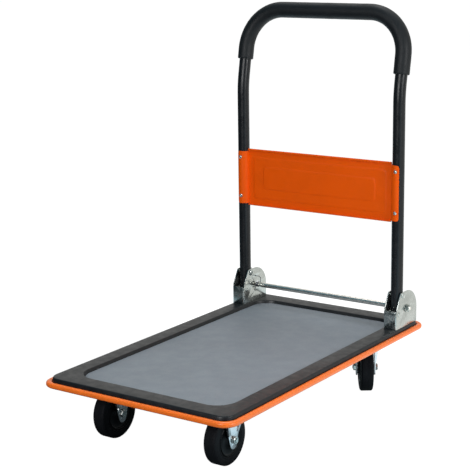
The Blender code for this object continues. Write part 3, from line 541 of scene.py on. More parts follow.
def swept(name, path, radii, sides, hollow=None):
    """Rings of the given radii along a path. A hollow one closes back along its inner radius."""
    path = [Vector(place) for place in path]
    side = Vector((0, 1, 0))
    stations = []
    for index, place in enumerate(path):
        before = path[max(index - 1, 0)]
        after = path[min(index + 1, len(path) - 1)]
        along = (after - before).normalized()
        side = (side - along * side.dot(along)).normalized()
        stations.append((place, side, along.cross(side)))

    def ring(station, radius):
        place, first, second = station
        return [place + first * x + second * y for x, y in circle((0, 0), radius, sides)]

    rows = [ring(station, radius) for station, radius in zip(stations, radii)]
    if hollow is not None:
        rows += [ring(station, hollow) for station in reversed(stations)]
        return loft(name, rows, wrap=True)
    return edited(loft(name, rows), fill_ends)


def box_mesh(name, size):
    shape = bmesh.new()
    bmesh.ops.create_cube(shape, size=1)
    bmesh.ops.scale(shape, vec=size, verts=shape.verts)
    return mesh_of(name, shape)


def joined(name, parts):
    """One mesh out of several (mesh, matrix) pairs that touch or stand side by side."""
    shape = bmesh.new()
    for mesh, matrix in parts:
        moved = mesh.copy()
        moved.transform(matrix)
        shape.from_mesh(moved)
        bpy.data.meshes.remove(moved)
    return mesh_of(name, shape)


def carved(name, mesh, tools, edge=0.0, mirror=False):
    """Booleans with (operation, mesh, matrix) tools, then a mirror in X and a small bevel."""
    guide = placed(name, mesh)
    cutters = []
    for operation, cutter_mesh, matrix in tools:
        cutters.append(placed(f"{name}_tool", cutter_mesh, matrix))
        modify(guide, "BOOLEAN", operation=operation, solver="EXACT", object=cutters[-1])
    if mirror:
        modify(guide, "MIRROR", merge_threshold=0.0001).use_bisect_axis[0] = True
    if edge:
        modify(guide, "BEVEL", width=edge, segments=2, angle_limit=math.radians(40))
    return evaluated_mesh(name, guide, cutters)


def show(name, mesh, finish, body, node=None, matrix=Matrix(), smooth=35):
    """Puts a piece in the scene, on its body, in place of its CAD node."""
    piece = placed(name, mesh, matrix)
    mesh.materials.clear()
    mesh.materials.append(MATERIALS[finish])
    mesh.shade_smooth()
    mesh.set_sharp_from_angle(angle=math.radians(smooth))
    if body is not None:
        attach(piece, body)
    if node is not None:
        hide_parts(node)
    return piece


def show_turned(name, profile, finish, body, node, matrix, steps=40, closed=False, **settings):
    show(name, turned(name, profile, steps, closed), finish, body, node, matrix, **settings)


# ---------------- deck


def deck_loop(grow, z, corner=None):
    half_x = DECK_HALF_WIDTH + grow
    half_y = DECK_HALF_LENGTH + grow
    radius = DECK_CORNER + grow if corner is None else corner
    outline = rounded_rectangle(-half_x, half_x, -half_y, half_y, radius)
    return [(x, y, z) for x, y in outline]


def recess_outline(inset):
    half_x = DECK_HALF_WIDTH - BORDER_SIDE - inset
    y_low = -DECK_HALF_LENGTH + BORDER_FRONT + inset
    y_high = DECK_HALF_LENGTH - BORDER_REAR - inset
    return rounded_rectangle(-half_x, half_x, y_low, y_high, RECESS_CORNER - inset)


def build_deck_skin():
    """Pressed skin: flared skirt, rounded shoulder, flat border and sloped recess wall."""
    shoulder, lip = 0.0030, 0.0022
    skirt = [(SKIRT_FLARE, 0.1190), (SKIRT_FLARE, 0.1215), (0.0009, 0.1290), (0.0003, 0.1312)]
    skirt += arc((-shoulder, DECK_TOP - shoulder), shoulder, 8, 90, 6)
    wall = arc((-lip, DECK_TOP - lip), lip, 90, 12, 5)
    wall += [(RECESS_SLOPE - 0.0006, 0.1274), (RECESS_SLOPE, 0.1264)]
    wall += [(RECESS_SLOPE + 0.0012, RECESS_FLOOR)]
    loops = [deck_loop(grow, z) for grow, z in skirt]
    loops += [[(x, y, z) for x, y in recess_outline(inset)] for inset, z in wall]
    sheet = {"thickness": DECK_SHEET, "offset": -1, "use_even_offset": True}
    mesh = loft("deck_skin", loops, fill_last=True, modifiers=[("SOLIDIFY", sheet)])
    show("deck_skin", mesh, "black_steel", "base", "deck_plate", smooth=50)


def build_mat():
    low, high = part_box("deck_mat")
    thickness = high[2] - low[2]
    mesh = plate("mat_sheet", recess_outline(RECESS_SLOPE + 0.0006), thickness, edge=0.0006)
    lift = at(0, 0, RECESS_FLOOR + GAP + thickness / 2)
    show("mat_sheet", mesh, "grey_mat", "base", "deck_mat", lift)


def build_bumper():
    """Soft strip: a thin top lip on the skirt, a round outer face and a hook under the skirt."""
    profile = [(SKIRT_FLARE + 0.0002, 0.1187), (SKIRT_FLARE + 0.0002, 0.1262), (0.0022, 0.1270)]
    profile += [(0.0040, 0.1276)]
    profile += arc((0.0056, 0.1229), 0.0047, 85, 0, 8)
    profile += arc((0.0056, 0.1211), 0.0047, 0, -88, 8)
    profile += [(0.0036, 0.1163), (-0.0022, 0.1163), (-0.0037, 0.1170), (-0.0042, 0.1185)]
    profile += [(-0.0042, 0.1236), (-0.0036, 0.1242), (-0.0028, 0.1240), (-0.0024, 0.1187)]
    loops = [deck_loop(grow, z, DECK_CORNER + 0.3 * grow) for grow, z in profile]
    mesh = loft("bumper_strip", loops, wrap=True)
    show("bumper_strip", mesh, "orange_bumper", "base", "edge_bumper", smooth=60)


def build_ribs():
    """Hat sections with rounded folds, spot welded under the deck."""
    sheet = 0.0015
    for place in ("front", "middle", "rear"):
        low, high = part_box(f"cross_rib_{place}")
        foot, top = low[2], high[2]
        half = arc((0.0148, foot + 0.0022), 0.0022, -90, -12, 4)
        half += [(0.0187, top - sheet - 0.0006), (0.0194, top - sheet), (0.0318, top - sheet)]
        half += [(0.0320, top), (0.0180, top), (0.0172, top - 0.0012)]
        half += arc((0.0145, foot + sheet + 0.0010), 0.0010, -12, -90, 3)
        outline = half + [(-across, z) for across, z in reversed(half)]
        mesh = plate(f"rib_{place}", outline, high[0] - low[0], edge=0.0002)
        matrix = at(0, (low[1] + high[1]) / 2, 0) @ ALONG_X
        show(f"rib_{place}", mesh, "black_steel", "base", f"cross_rib_{place}", matrix)


# ---------------- handle


def handle_path(end_left, end_right):
    """Centre line of the handle's tube, from an end on the left leg to one on the right."""
    tilt_y = math.sin(BEND_ANGLE)
    tilt_z = math.cos(BEND_ANGLE)
    bend_end_y = PIVOT_Y + BEND_RADIUS * (1 - tilt_z)
    bend_end_z = BEND_Z + BEND_RADIUS * tilt_y
    length = (HANDLE_TOP_Z - bend_end_z) / tilt_z

    def tilted(x, along):
        return (x, bend_end_y + along * tilt_y, bend_end_z + along * tilt_z)

    def leg(sign, end_z):
        if end_z > bend_end_z:
            points = [tilted(sign * TUBE_X, (end_z - bend_end_z) / tilt_z)]
        else:
            points = [(sign * TUBE_X, PIVOT_Y, end_z), (sign * TUBE_X, PIVOT_Y, BEND_Z - 0.03)]
            middle = (PIVOT_Y + BEND_RADIUS, BEND_Z)
            for y, z in arc(middle, BEND_RADIUS, 180, 180 - BEND_DEGREES, 10):
                points.append((sign * TUBE_X, y, z))
        corner = (TUBE_X - HANDLE_CORNER, length - HANDLE_CORNER)
        for x, along in arc(corner, HANDLE_CORNER, 0, 90, 26):
            points.append(tilted(sign * x, along))
        return points

    return leg(-1, end_left) + leg(1, end_right)[::-1]


def build_tube():
    path = handle_path(SHOWN_TUBE_END_Z, SHOWN_TUBE_END_Z)
    mesh = swept("tube_bow", path, [TUBE_RADIUS] * len(path), 48, TUBE_RADIUS - TUBE_WALL)
    show("tube_bow", mesh, "black_tube", "handle", "handle_tube", smooth=50)


def build_grip():
    """Foam sleeve: slightly uneven, with rounded ends that press on the tube."""
    path = [Vector(place) for place in handle_path(GRIP_END_Z["left"], GRIP_END_Z["right"])]
    first, last = path[0], path[-1]
    left_shares = (0.012, 0.03, 0.06, 0.12, 0.25, 0.4, 0.6, 0.8)
    right_shares = (0.009, 0.022, 0.045, 0.09, 0.2, 0.4, 0.6, 0.8)
    half = len(path) // 2
    points = [first] + [first.lerp(path[1], share) for share in left_shares] + path[1:half]
    points += [path[half - 1].lerp(path[half], step / 30) for step in range(1, 30)]
    points += path[half:-1] + [last.lerp(path[-2], share) for share in reversed(right_shares)]
    points.append(last)
    radii = []
    for place in points:
        from_end = min((place - first).length, (place - last).length)
        rounding = 0.0016 * max(0.0, 1 - from_end / 0.0020) ** 2
        ripple = 0.00016 * noise.noise(place * 60) + 0.00010 * noise.noise(place * 170)
        radii.append(GRIP_RADIUS - 0.0002 - rounding + ripple)
    mesh = swept("foam_grip", points, radii, 56, TUBE_RADIUS + 0.0002)
    piece = show("foam_grip", mesh, "black_foam", "handle", "handle_grip", smooth=50)


def step_height(distance, width):
    """Rises from 0 to 1 as a point goes inside an embossed field's edge."""
    share = min(max(distance / width, 0.0), 1.0)
    return share * share * (3 - 2 * share)


def field_depth(x, z, half_x, z_low, z_high, corner):
    """Distance inside a rounded rectangle, negative outside."""
    middle = (z_low + z_high) / 2
    over_x = abs(x) - (half_x - corner)
    over_z = abs(z - middle) - ((z_high - z_low) / 2 - corner)
    outside = math.hypot(max(over_x, 0), max(over_z, 0))
    return corner - outside - min(max(over_x, over_z), 0)


def spaced(low, high, count, marks, pull=0.004):
    """Even positions plus tight groups around the marks."""
    values = {round(low + (high - low) * step / count, 6) for step in range(count + 1)}
    for mark in marks:
        for offset in (-1.0, -0.6, -0.3, 0.0, 0.3, 0.6, 1.0):
            value = mark + offset * pull
            if low < value < high:
                values.add(round(value, 6))
    return sorted(values)


def panel_relief(x, z):
    """How far forwards the pressed fields stand at a place."""
    total = 0.0
    for *outline, height in PANEL_FIELDS:
        total += height * step_height(field_depth(x, z, *outline) + 0.0015, 0.0035)
    return total


def thickened(mesh, thickness, axis_place):
    """Gives an open sheet round an upright axis its thickness, inwards to that axis."""

    def thicken(shape):
        inner = {}
        for corner in list(shape.verts):
            towards = Vector((axis_place.x - corner.co.x, axis_place.y - corner.co.y, 0))
            inner[corner] = shape.verts.new(corner.co + towards.normalized() * thickness)
        rim = [edge for edge in shape.edges if len(edge.link_faces) == 1]
        for face in list(shape.faces):
            shape.faces.new([inner[corner] for corner in reversed(face.verts[:])])
        for edge in rim:
            first, second = edge.verts
            shape.faces.new((first, second, inner[second], inner[first]))

    return edited(mesh, thicken)


def panel_flange(sign):
    """Flange wrapped round a tube, with rounded corners at its free edge."""
    radius = TUBE_RADIUS + 0.0002 + PANEL_SHEET
    corner, steps = 0.0055, 16
    front = PIVOT_Y - PANEL_SHEET / 2
    plan = [(TUBE_X - radius - 0.0030, front), (TUBE_X - radius - 0.0012, front - 0.0002)]
    plan += arc((TUBE_X, PIVOT_Y), radius, 187, 270 + PANEL_WRAP, 26)
    lengths = [0.0]
    for first, second in zip(plan, plan[1:]):
        lengths.append(lengths[-1] + math.dist(first, second))
    columns = []
    for (x, y), length in zip(plan, lengths):
        left = max(corner - (lengths[-1] - length), 0.0)
        cut = corner - math.sqrt(max(corner * corner - left * left, 0.0))
        low, high = FLANGE_BOTTOM + cut, FLANGE_TOP - cut
        heights = [low + (high - low) * step / steps for step in range(steps + 1)]
        columns.append([(sign * x, y, z) for z in heights])
    if sign > 0:
        columns.reverse()
    mesh = loft("panel_flange", columns, closed=False)
    return thickened(mesh, PANEL_SHEET, Vector((sign * TUBE_X, PIVOT_Y, 0)))


def build_panel():
    """Pressed sheet: two stepped fields, hems rolled forwards and flanges round the tubes."""
    hem = HEM_RADIUS
    front = PIVOT_Y - PANEL_SHEET / 2
    half_x = TUBE_X - TUBE_RADIUS - 0.0019
    x_marks = [sign * field[0] for field in PANEL_FIELDS for sign in (-1, 1)]
    z_marks = [edge for field in PANEL_FIELDS for edge in field[1:3]]
    xs = spaced(-half_x, half_x, 70, x_marks)
    zs = spaced(PANEL_BOTTOM + 2 * hem, PANEL_TOP - 2 * hem, 26, z_marks)
    bottom_hem = arc((0.0, PANEL_BOTTOM + hem), hem, 20, -180, 12)
    top_hem = arc((0.0, PANEL_TOP - hem), hem, 180, -20, 12)
    rows = [[(x, front - hem - across, z) for x in xs] for across, z in bottom_hem]
    rows += [[(x, front - panel_relief(x, z), z) for x in xs] for z in zs]
    rows += [[(x, front - hem - across, z) for x in xs] for across, z in top_hem]
    sheet = {"thickness": PANEL_SHEET, "offset": 1}
    parts = [loft("panel_main", rows, closed=False, modifiers=[("SOLIDIFY", sheet)])]
    parts += [panel_flange(sign) for sign in (-1, 1)]
    mesh = joined("panel_sheet", [(part, Matrix()) for part in parts])
    show("panel_sheet", mesh, "orange_paint", "handle", "back_panel", smooth=45)


def build_panel_screws():
    """Pan heads with a cross recess."""
    head = [(0.0, 0.0024), (0.0010, 0.00235), (0.0022, 0.0020), (0.0032, 0.0013), (0.0038, 0.0005)]
    head += [(0.0040, 0.0), (0.0019, 0.0), (0.0019, -0.0075), (0.0, -0.0085)]
    blade = box_mesh("recess_blade", (0.0040, 0.0008, 0.0022))
    tools = []
    for degrees in (35, 125):
        matrix = at(0, 0, 0.0027) @ turn_about("Z", math.radians(degrees))
        tools.append(("DIFFERENCE", blade, matrix))
    seat = PIVOT_Y - TUBE_RADIUS - PANEL_SHEET - 2 * GAP
    for side, sign in SIDES.items():
        for place, z in SCREW_HEIGHTS.items():
            name = f"cross_screw_{side}_{place}"
            mesh = carved(name, turned(name, head, 32), tools)
            matrix = at(sign * TUBE_X, seat, z) @ ALONG_MINUS_Y
            show(name, mesh, "zinc", "handle", f"panel_screw_{side}_{place}", matrix)


# ---------------- hinges


def side_plate_outline():
    front = BRACKET_FRONT + 0.0030
    crown_centre = (0.3038, 0.1665)
    points = [(front, BRACKET_BOTTOM), (BRACKET_REAR, BRACKET_BOTTOM)]
    points += arc(crown_centre, BRACKET_REAR - crown_centre[0], 0, 90, 28)
    points += arc((0.2796, 0.2060), 0.0050, 90, 150, 8)
    points.append((front, FRONT_WALL_TOP + 0.0056))
    return points


def slot_outline(y_low, y_high, z, half_height, steps=12):
    points = arc((y_low + half_height, z), half_height, 90, 270, steps)
    points += arc((y_high - half_height, z), half_height, -90, 90, steps)
    return points


def build_bracket(side, sign):
    """Folded channel: base, front wall with rounded folds, and two tall side plates."""
    name = f"bracket_{side}"
    half = BRACKET_HALF_WIDTH
    inner = half - BRACKET_SHEET
    front = BRACKET_FRONT
    bend, inner_bend = 0.0032, 0.0012
    wall_end = front + 0.0070
    fold = arc((inner - inner_bend, front + bend), inner_bend, 0, -90, 5)
    wall = [(half, wall_end), (inner, wall_end)] + fold
    wall += [(-x, y) for x, y in reversed(fold)] + [(-inner, wall_end), (-half, wall_end)]
    wall += arc((-half + bend, front + bend), bend, 180, 270, 8)
    wall += arc((half - bend, front + bend), bend, 270, 360, 8)
    wall_height = FRONT_WALL_TOP - BRACKET_BOTTOM
    wall_mesh = plate(name, wall, wall_height)
    wall_mesh.transform(at(sign * TUBE_X, 0, BRACKET_BOTTOM + wall_height / 2))

    side_x, base_front, base_rear = half - 0.0004, front + 0.0010, BRACKET_REAR - 0.0008
    base = [(-side_x, base_front), (side_x, base_front), (side_x, base_rear), (-side_x, base_rear)]
    base_place = at(sign * TUBE_X, 0, BRACKET_BOTTOM + BRACKET_SHEET / 2)
    tools = [("UNION", plate("bracket_base", base, BRACKET_SHEET), base_place)]
    slot_rear = ROD_Y + ROD_TRAVEL + SHANK_RADIUS + 2 * GAP
    bore = SHANK_RADIUS + GAP
    for face, direction in (("inner", -sign), ("outer", sign)):
        holes = [slot_outline(SLOT_FRONT, slot_rear, ROD_Z, bore), circle((PIVOT_Y, PIVOT_Z), bore)]
        if face == "inner":
            holes += [circle(place, 0.0016, 16) for place in SPRING_HOLES]
        middle = sign * TUBE_X + direction * (half - BRACKET_SHEET / 2)
        sheet = plate("side_plate", side_plate_outline(), BRACKET_SHEET, holes)
        tools.append(("UNION", sheet, at(middle, 0, 0) @ ALONG_X))
    mesh = carved(name, wall_mesh, tools, edge=0.0008)
    show(name, mesh, "zinc", "base", f"hinge_bracket_{side}")


def pin_matrix(sign, y, z):
    return at(sign * TUBE_X, y, z) @ ALONG_X @ turn_about("X", 0 if sign < 0 else math.pi)


def above(base, *pairs):
    """Part of a profile, with its heights measured from a base height."""
    return [(radius, base + height) for radius, height in pairs]


def build_pins(side, sign):
    """Domed pivot rivet, stop rivet and the rivets through the bracket's base."""
    seat = BRACKET_HALF_WIDTH + 0.0001
    pivot = above(seat, (0.0, -0.0010), (0.0020, -0.0010), (0.0023, -0.0006), (0.0024, 0.0024))
    pivot += above(seat, (0.0028, 0.0030), (0.0036, 0.0032), (0.0046, 0.0028), (0.0060, 0.0016))
    pivot += above(seat, (0.0071, 0.0005), (0.0074, 0), (SHANK_RADIUS, 0))
    pivot += above(-seat, (SHANK_RADIUS, 0), (0.0056, 0), (0.0055, -0.0009), (0.0049, -0.0015))
    pivot += above(-seat, (0.0030, -0.0017), (0.0024, -0.0012), (0.0, -0.0010))
    matrix = pin_matrix(sign, PIVOT_Y, PIVOT_Z)
    show_turned(f"pivot_rivet_{side}", pivot, "zinc", "base", f"pivot_pin_{side}", matrix)

    inside = BRACKET_HALF_WIDTH - BRACKET_SHEET - GAP
    half = above(seat, (0.0, 0.0018), (0.0020, 0.0017), (0.0036, 0.0012), (0.0046, 0.0005))
    half += [(0.0048, seat), (0.0030, seat), (0.0030, inside), (0.0046, inside)]
    half.append((0.0050, inside - 0.0005))
    matrix = pin_matrix(sign, STOP_PIN_Y, STOP_PIN_Z)
    show_turned(f"stop_rivet_{side}", mirrored(half), "zinc", "base", f"stop_pin_{side}", matrix)

    head = BRACKET_BOTTOM + BRACKET_SHEET + 0.0001
    tail = DECK_TOP - DECK_SHEET - 0.0001
    rivet = above(head, (0.0, 0.0026), (0.0016, 0.0024), (0.0034, 0.0017), (0.0048, 0.0008))
    rivet += [(0.0055, head), (0.0028, head), (0.0028, tail), (0.0052, tail)]
    rivet += above(tail, (0.0049, -0.0012), (0.0036, -0.0020), (0.0, -0.0022))
    for place, y in RIVET_PLACES.items():
        name, node = f"base_rivet_{side}_{place}", f"bracket_rivet_{side}_{place}"
        show_turned(name, rivet, "zinc", "base", node, at(sign * TUBE_X, y, 0), 28)


def threaded(radius, top, bottom, pitch=0.00125):
    """Profile of a screw thread's ridges, from top to bottom."""
    count = max(1, round((top - bottom) / pitch))
    step = (top - bottom) / count
    root = radius - 0.0006
    points = []
    for index in range(count):
        start = top - index * step
        points += [(root, start), (radius, start - step * 0.35), (radius, start - step * 0.6)]
    return points + [(root, bottom)]


def build_rod():
    """Foot rod with shouldered, threaded ends."""
    nut_face = TUBE_X + BRACKET_HALF_WIDTH + 0.0018
    half = [(0.0, ROD_END), (0.0030, ROD_END), (0.0036, ROD_END - 0.0006)]
    half += threaded(SHANK_RADIUS, ROD_END - 0.0010, nut_face)
    half += [(SHANK_RADIUS, nut_face - 0.0010), (SHANK_RADIUS, ROD_HALF_LENGTH)]
    half += [(0.0048, ROD_HALF_LENGTH), (ROD_RADIUS, ROD_HALF_LENGTH - 0.0008)]
    place = at(0, ROD_Y, ROD_Z) @ ALONG_X
    show_turned("foot_rod", mirrored(half), "rod_zinc", "release", "release_rod", place, 48)


def nut_mesh(name):
    """Hexagon nut with chamfered corners and a countersunk bore."""
    bore = AXLE_RADIUS + 0.0001
    half, rim = NUT_HEIGHT / 2, HEX_RADIUS + 0.0002
    lathe = mirrored([(bore + 0.0005, half), (NUT_FLATS / 2 - 0.0003, half), (rim, half - 0.0011)])
    lathe += [(bore, -half + 0.0005), (bore, half - 0.0005)]
    tool = turned("nut_lathe", lathe, 48, closed=True)
    return carved(name, plate(name, HEXAGON, NUT_HEIGHT), [("INTERSECT", tool, Matrix())])


def build_rod_ends(side, sign):
    washer_face = TUBE_X + BRACKET_HALF_WIDTH + GAP
    half = 0.0006
    ring = mirrored([(0.0042, half), (0.0082, half), (0.0085, half - 0.0002)])
    matrix = at(sign * (washer_face + half), ROD_Y, ROD_Z) @ ALONG_X
    name, node = f"rod_end_washer_{side}", f"rod_washer_{side}"
    show_turned(name, ring, "zinc", "release", node, matrix, closed=True)
    name = f"rod_end_nut_{side}"
    middle = washer_face + 2 * half + GAP + NUT_HEIGHT / 2
    turn = turn_about("Z", math.radians(20 * sign))
    matrix = at(sign * middle, ROD_Y, ROD_Z) @ ALONG_X @ turn
    show(name, nut_mesh(name), "zinc", "release", f"rod_nut_{side}", matrix)


def build_rod_spring(side, sign):
    """Coil round the rod's thin end. Its two legs stay hooked in the bracket's plate."""
    plate_face = TUBE_X - BRACKET_HALF_WIDTH
    coil_radius = SHANK_RADIUS + 0.0004 + SPRING_WIRE
    turns, steps, pitch = 2.5, 26, 0.0034
    near = plate_face - 0.0020
    (top_y, top_z), (low_y, low_z) = SPRING_HOLES
    points = [(plate_face + 0.0017, low_y, low_z), (near + 0.0004, low_y, low_z)]
    points.append((near, low_y - 0.0012, low_z + 0.0012))
    for step in range(int(turns * steps) + 1):
        angle = math.pi + 2 * math.pi * step / steps
        x = near - pitch * step / steps
        y = ROD_Y + coil_radius * math.cos(angle)
        points.append((x, y, ROD_Z + coil_radius * math.sin(angle)))
    far = near - pitch * turns
    points.append((far, ROD_Y + coil_radius + 0.0004, top_z - 0.0040))
    points += [(far + 0.0010, top_y, top_z), (plate_face + 0.0017, top_y, top_z)]
    path = [(sign * x, y, z) for x, y, z in points]
    name = f"return_spring_{side}"
    mesh = swept(name, path, [SPRING_WIRE] * len(path), 12)
    piece = show(name, mesh, "spring_steel", None, f"rod_spring_{side}", smooth=80)
    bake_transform(piece)


# ---------------- casters


def leg_outline(top_z, front_top, rear_top, tip_y):
    tip = (tip_y, LEG_TIP_Z)
    return [(front_top, top_z)] + arc(tip, LEG_TIP_RADIUS, 196, 344, 20) + [(rear_top, top_z)]


def inset_leg_outline(top_z, front_top, rear_top, tip_y):
    """What is pressed out of a leg's face: all of it between flanges at its two edges."""
    inset, clear = 0.0026, 0.03
    top, shoulder, elbow = top_z - 0.0060, LEG_TIP_Z + 0.0200, LEG_TIP_Z + 0.0100
    low = LEG_TIP_Z - clear
    points = [(front_top + inset, top), (tip_y - LEG_TIP_RADIUS, shoulder)]
    points += [(tip_y - clear, elbow), (tip_y - clear, low)]
    points += [(tip_y + clear, low), (tip_y + clear, elbow)]
    return points + [(tip_y + LEG_TIP_RADIUS, shoulder), (rear_top - inset, top)]


def fork_mesh(name, crown, crown_z, leg_shape):
    """Pressed fork: a crown with a flanged leg down each side of the wheel."""
    crown.transform(at(0, 0, crown_z))
    outside = LEG_INSIDE + LEG_SHEET
    leg_place = at(LEG_INSIDE + LEG_FLANGE / 2, 0, 0) @ ALONG_X
    pocket_place = at(outside + LEG_FLANGE / 2, 0, 0) @ ALONG_X
    wedge_low, wedge_high, far = 0.02, 0.0900, outside + 0.02
    wedge = [(outside, wedge_low), (outside, 0.0560), (outside + 0.0056, wedge_high)]
    wedge += [(far, wedge_high), (far, wedge_low)]
    reach = 0.05
    hole = turned("axle_hole", mirrored([(0, reach), (AXLE_RADIUS + GAP, reach)]), 32)
    tools = [
        ("UNION", plate("leg", leg_outline(*leg_shape), LEG_FLANGE), leg_place),
        ("DIFFERENCE", plate("pocket", inset_leg_outline(*leg_shape), LEG_FLANGE), pocket_place),
        ("DIFFERENCE", plate("wedge", wedge, 0.2), ALONG_MINUS_Y),
        ("DIFFERENCE", hole, at(0, leg_shape[3], WHEEL_RADIUS) @ ALONG_X),
    ]
    return carved(name, crown, tools, edge=0.0007, mirror=True)


def caster_plate_outline():
    half_x, half_y = (size / 2 for size in CASTER_PLATE_SIZE)
    return rounded_rectangle(-half_x, half_x, -half_y, half_y, 0.008, 8)


def build_rigid_fork(side, place):
    crown = plate("crown", caster_plate_outline(), CASTER_PLATE)
    shape = (CASTER_PLATE_TOP - 0.0010, -0.0337, 0.0337, 0.0)
    name = f"rigid_fork_{side}"
    mesh = fork_mesh(name, crown, CASTER_PLATE_TOP - CASTER_PLATE / 2, shape)
    show(name, mesh, "caster_zinc", "base", f"front_fork_{side}", place)


def build_swivel_fork(side, place):
    half = LEG_INSIDE + LEG_SHEET
    front, rear = -0.0420, 0.0150
    outline = [(-half, front), (half, front), (half, rear)]
    outline += arc((0, 0), 0.0262, 35, 145, 20)
    outline.append((-half, rear))
    crown = plate("crown", outline, CROWN_SHEET, [circle((0, 0), KINGPIN_RADIUS + GAP)])
    shape = (CROWN_TOP - 0.0010, front, 0.0200, -CASTER_TRAIL)
    name = f"swivel_fork_{side}"
    mesh = fork_mesh(name, crown, CROWN_TOP - CROWN_SHEET / 2, shape)
    show(name, mesh, "caster_zinc", f"swivel_{side}", f"rear_fork_{side}", place)


def build_swivel_head(side, place):
    """Top plate, ball race and kingpin of a swivel caster."""
    name = f"swivel_plate_{side}"
    hole = circle((0, 0), KINGPIN_RADIUS + GAP)
    mesh = plate(name, caster_plate_outline(), CASTER_PLATE, [hole], edge=0.0005)
    lifted = place @ at(0, 0, CASTER_PLATE_TOP - CASTER_PLATE / 2)
    show(name, mesh, "caster_zinc", "base", f"rear_top_plate_{side}", lifted)

    top = CASTER_PLATE_TOP - CASTER_PLATE - 0.0001
    foot = CROWN_TOP + GAP
    race = above(top, (0.0236, 0), (0.0247, -0.0007), (0.0250, -0.0018), (0.0248, -0.0034))
    race += above(top, (0.0236, -0.0042), (0.0222, -0.0044), (0.0219, -0.0048))
    race += above(foot, (0.0222, 0.0030), (0.0238, 0.0026), (0.0245, 0.0016), (0.0243, 0.0004))
    race += [(0.0236, foot), (0.0064, foot), (0.0064, top)]
    name, node = f"ball_race_{side}", f"swivel_bearing_{side}"
    show_turned(name, race, "zinc", "base", node, place, 64, closed=True)

    seat = CROWN_TOP - CROWN_SHEET - GAP
    pin = [(0.0, CASTER_PLATE_TOP - GAP), (0.0050, CASTER_PLATE_TOP - GAP)]
    pin += [(KINGPIN_RADIUS, CASTER_PLATE_TOP - 0.0010), (KINGPIN_RADIUS, seat), (0.0095, seat)]
    pin += above(seat, (0.0095, -0.0008), (0.0086, -0.0026), (0.0050, -0.0035), (0.0, -0.0036))
    show_turned(f"king_rivet_{side}", pin, "zinc", "base", f"kingpin_{side}", place)


def build_plate_bolts(label, place):
    """Nuts and bolt ends under a caster's top plate."""
    nut = nut_mesh("plate_nut")
    nut.transform(Matrix.Scale(0.85, 4))
    profile = [(0.0032, 0.0)] + threaded(0.0034, 0.0, -0.0068) + [(0.0024, -0.0074), (0.0, -0.0074)]
    stud = turned("plate_stud", profile, 20)
    parts = []
    for across in (-1, 1):
        for along in (-1, 1):
            x, y = across * PLATE_BOLTS[0], along * PLATE_BOLTS[1]
            spot = at(x, y, CASTER_PLATE_TOP - CASTER_PLATE)
            turn = turn_about("Z", 0.4 * across + 0.9 * along)
            parts += [(nut, spot @ at(0, 0, -0.0024) @ turn), (stud, spot)]
    name = f"plate_bolts_{label}"
    show(name, joined(name, parts), "zinc", "base", matrix=place)


def bolt_head(height):
    """Hexagon head on local Z = 0, chamfered at its top."""
    lathe = [(0.0, height), (NUT_FLATS / 2 - 0.0003, height)]
    lathe += [(HEX_RADIUS + 0.0002, height - 0.0011), (HEX_RADIUS + 0.0002, -0.001), (0.0, -0.001)]
    tools = [
        ("INTERSECT", turned("head_lathe", lathe, 48), Matrix()),
        ("DIFFERENCE", box_mesh("head_cut", (0.04, 0.04, 0.02)), at(0, 0, -0.01)),
    ]
    return carved("bolt_head", plate("bolt_head", HEXAGON, 2 * height), tools)


def build_axle(label, axle, head_side, body):
    """Hexagon bolt, nut and the sleeve that the hub turns on."""
    seat = LEG_INSIDE + LEG_SHEET + 0.0001
    end = seat + NUT_HEIGHT + GAP + 0.0015
    shank = [(0.0, seat + 0.001), (AXLE_RADIUS, seat + 0.001), (AXLE_RADIUS, -seat + 0.002)]
    shank += threaded(AXLE_RADIUS, -seat, -end + 0.0008) + [(0.0030, -end), (0.0, -end)]
    parts = [(bolt_head(0.0050), at(0, 0, seat)), (turned("shank", shank, 32), Matrix())]
    name = f"hex_bolt_{label}"
    matrix = axle @ ALONG_X @ turn_about("X", 0 if head_side > 0 else math.pi)
    show(name, joined(name, parts), "zinc", body, f"axle_bolt_{label}", matrix)

    name = f"hex_nut_{label}"
    middle = -head_side * (seat + 0.0002 + NUT_HEIGHT / 2)
    matrix = axle @ at(middle, 0, 0) @ ALONG_X @ turn_about("Z", 0.5)
    show(name, nut_mesh(name), "zinc", body, f"axle_nut_{label}", matrix)

    half = LEG_INSIDE - 0.0002
    sleeve = mirrored([(0.0057, half), (0.0060, half - 0.0003)])
    sleeve += [(AXLE_RADIUS + 0.0002, -half), (AXLE_RADIUS + 0.0002, half)]
    name, node = f"axle_tube_{label}", f"axle_sleeve_{label}"
    show_turned(name, sleeve, "spring_steel", body, node, axle @ ALONG_X, 32, closed=True)


